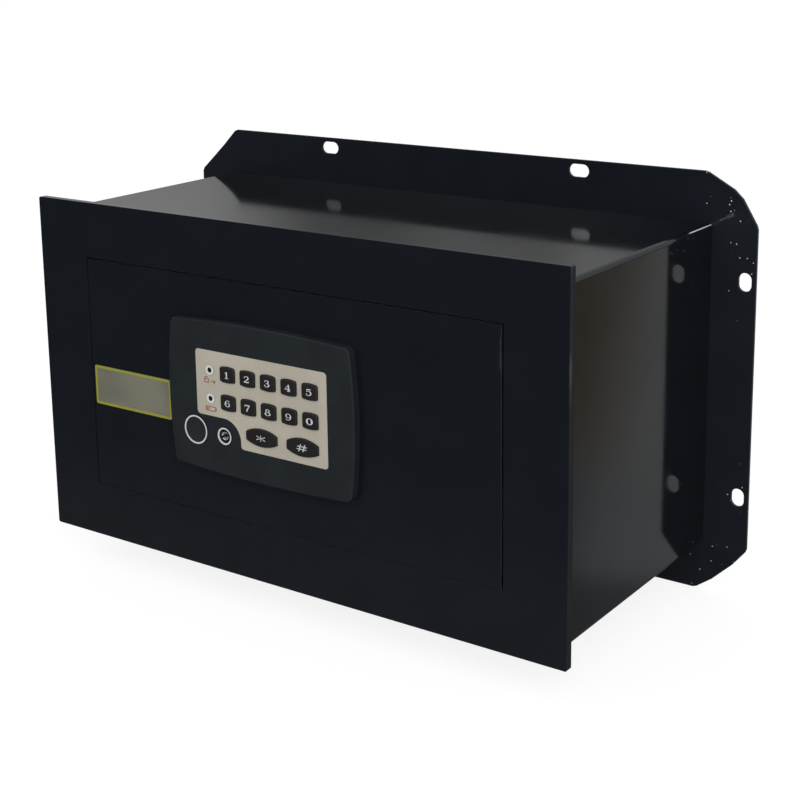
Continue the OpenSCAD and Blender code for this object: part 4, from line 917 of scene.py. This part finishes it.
def make_world():
    """An even white studio, and a room with darker sides that only reflections show."""
    world = bpy.data.worlds.new("studio")
    world.use_nodes = True
    world.cycles.sampling_method = "NONE"
    scene.world = world
    nodes = Nodes(world.node_tree)
    x, y, z = nodes.split(nodes.node("TexCoord").outputs["Generated"])
    path = nodes.node("LightPath").outputs
    beside = nodes.times(nodes.ramp(z, -0.36, -0.31), nodes.ramp(x, 0.415, 0.452))
    strength = nodes.blend(path["Is Glossy Ray"], DIFFUSE_SKY, mirrored_room(nodes, x, y, z, beside))
    strength = nodes.blend(path["Is Transmission Ray"], strength, THROUGH_SKY)
    strength = nodes.blend(path["Is Camera Ray"], strength, SEEN_SKY)
    warm = nodes.times(beside, nodes.ramp(y, 0.0, 0.5), nodes.ramp(z, -0.1, -0.2), path["Is Glossy Ray"])
    background = world.node_tree.nodes["Background"]
    nodes.put(background.inputs["Strength"], strength)
    nodes.put(background.inputs["Color"], nodes.mix(warm, (1.0, 1.0, 1.0), WARM))


FLOOR_REACH = 12.0
FLOOR_GAP = 0.3 * MM
FLOOR_GREY = 0.8
SHADOW_DEPTH = 0.22
FLOOR_GLOW = 0.86


def make_floor():
    """A pale floor that the camera sees as nearly white, with a faint shadow."""
    z = cad_box[0].z - FLOOR_GAP
    corners = [(sx * FLOOR_REACH, sy * FLOOR_REACH, z) for sx, sy in ((-1, -1), (1, -1), (1, 1), (-1, 1))]
    mesh = bpy.data.meshes.new("floor")
    mesh.from_pydata(corners, [], [(0, 1, 2, 3)])
    floor = bpy.data.objects.new("floor", mesh)
    scene.collection.objects.link(floor)
    floor.visible_glossy = False
    material = bpy.data.materials.new("floor")
    material.use_nodes = True
    nodes = Nodes(material.node_tree)
    nodes.tree.nodes.clear()
    plain = nodes.node("BsdfDiffuse", {"Color": (FLOOR_GREY,) * 3}).outputs[0]
    faint = nodes.node("BsdfDiffuse", {"Color": (SHADOW_DEPTH,) * 3}).outputs[0]
    glow = nodes.node("Emission", {"Strength": FLOOR_GLOW}).outputs[0]
    seen = nodes.node("AddShader", {0: faint, 1: glow}).outputs[0]
    by_camera = nodes.node("LightPath").outputs["Is Camera Ray"]
    surface = nodes.node("MixShader", {0: by_camera, 1: plain, 2: seen}).outputs[0]
    nodes.node("OutputMaterial", {"Surface": surface})
    floor.data.materials.append(material)


LAMP_SIZE = 1.4
LAMP_TARGET = (0, -0.1, 0)


def add_lamp(name, place, power):
    data = bpy.data.lights.new(name, "AREA")
    data.shape = "SQUARE"
    data.size = LAMP_SIZE
    data.energy = power
    lamp = bpy.data.objects.new(name, data)
    lamp.location = place
    lamp.rotation_euler = (Vector(LAMP_TARGET) - Vector(place)).to_track_quat("-Z", "Y").to_euler()
    scene.collection.objects.link(lamp)


make_camera()
dress_nodes()
print_keys()
print_label()
dress_badge()
fill_socket()
make_world()
make_floor()
add_lamp("key_lamp", (1.5, -1.7, 1.3), 20)
add_lamp("fill_lamp", (-1.3, -1.6, 1.4), 5)
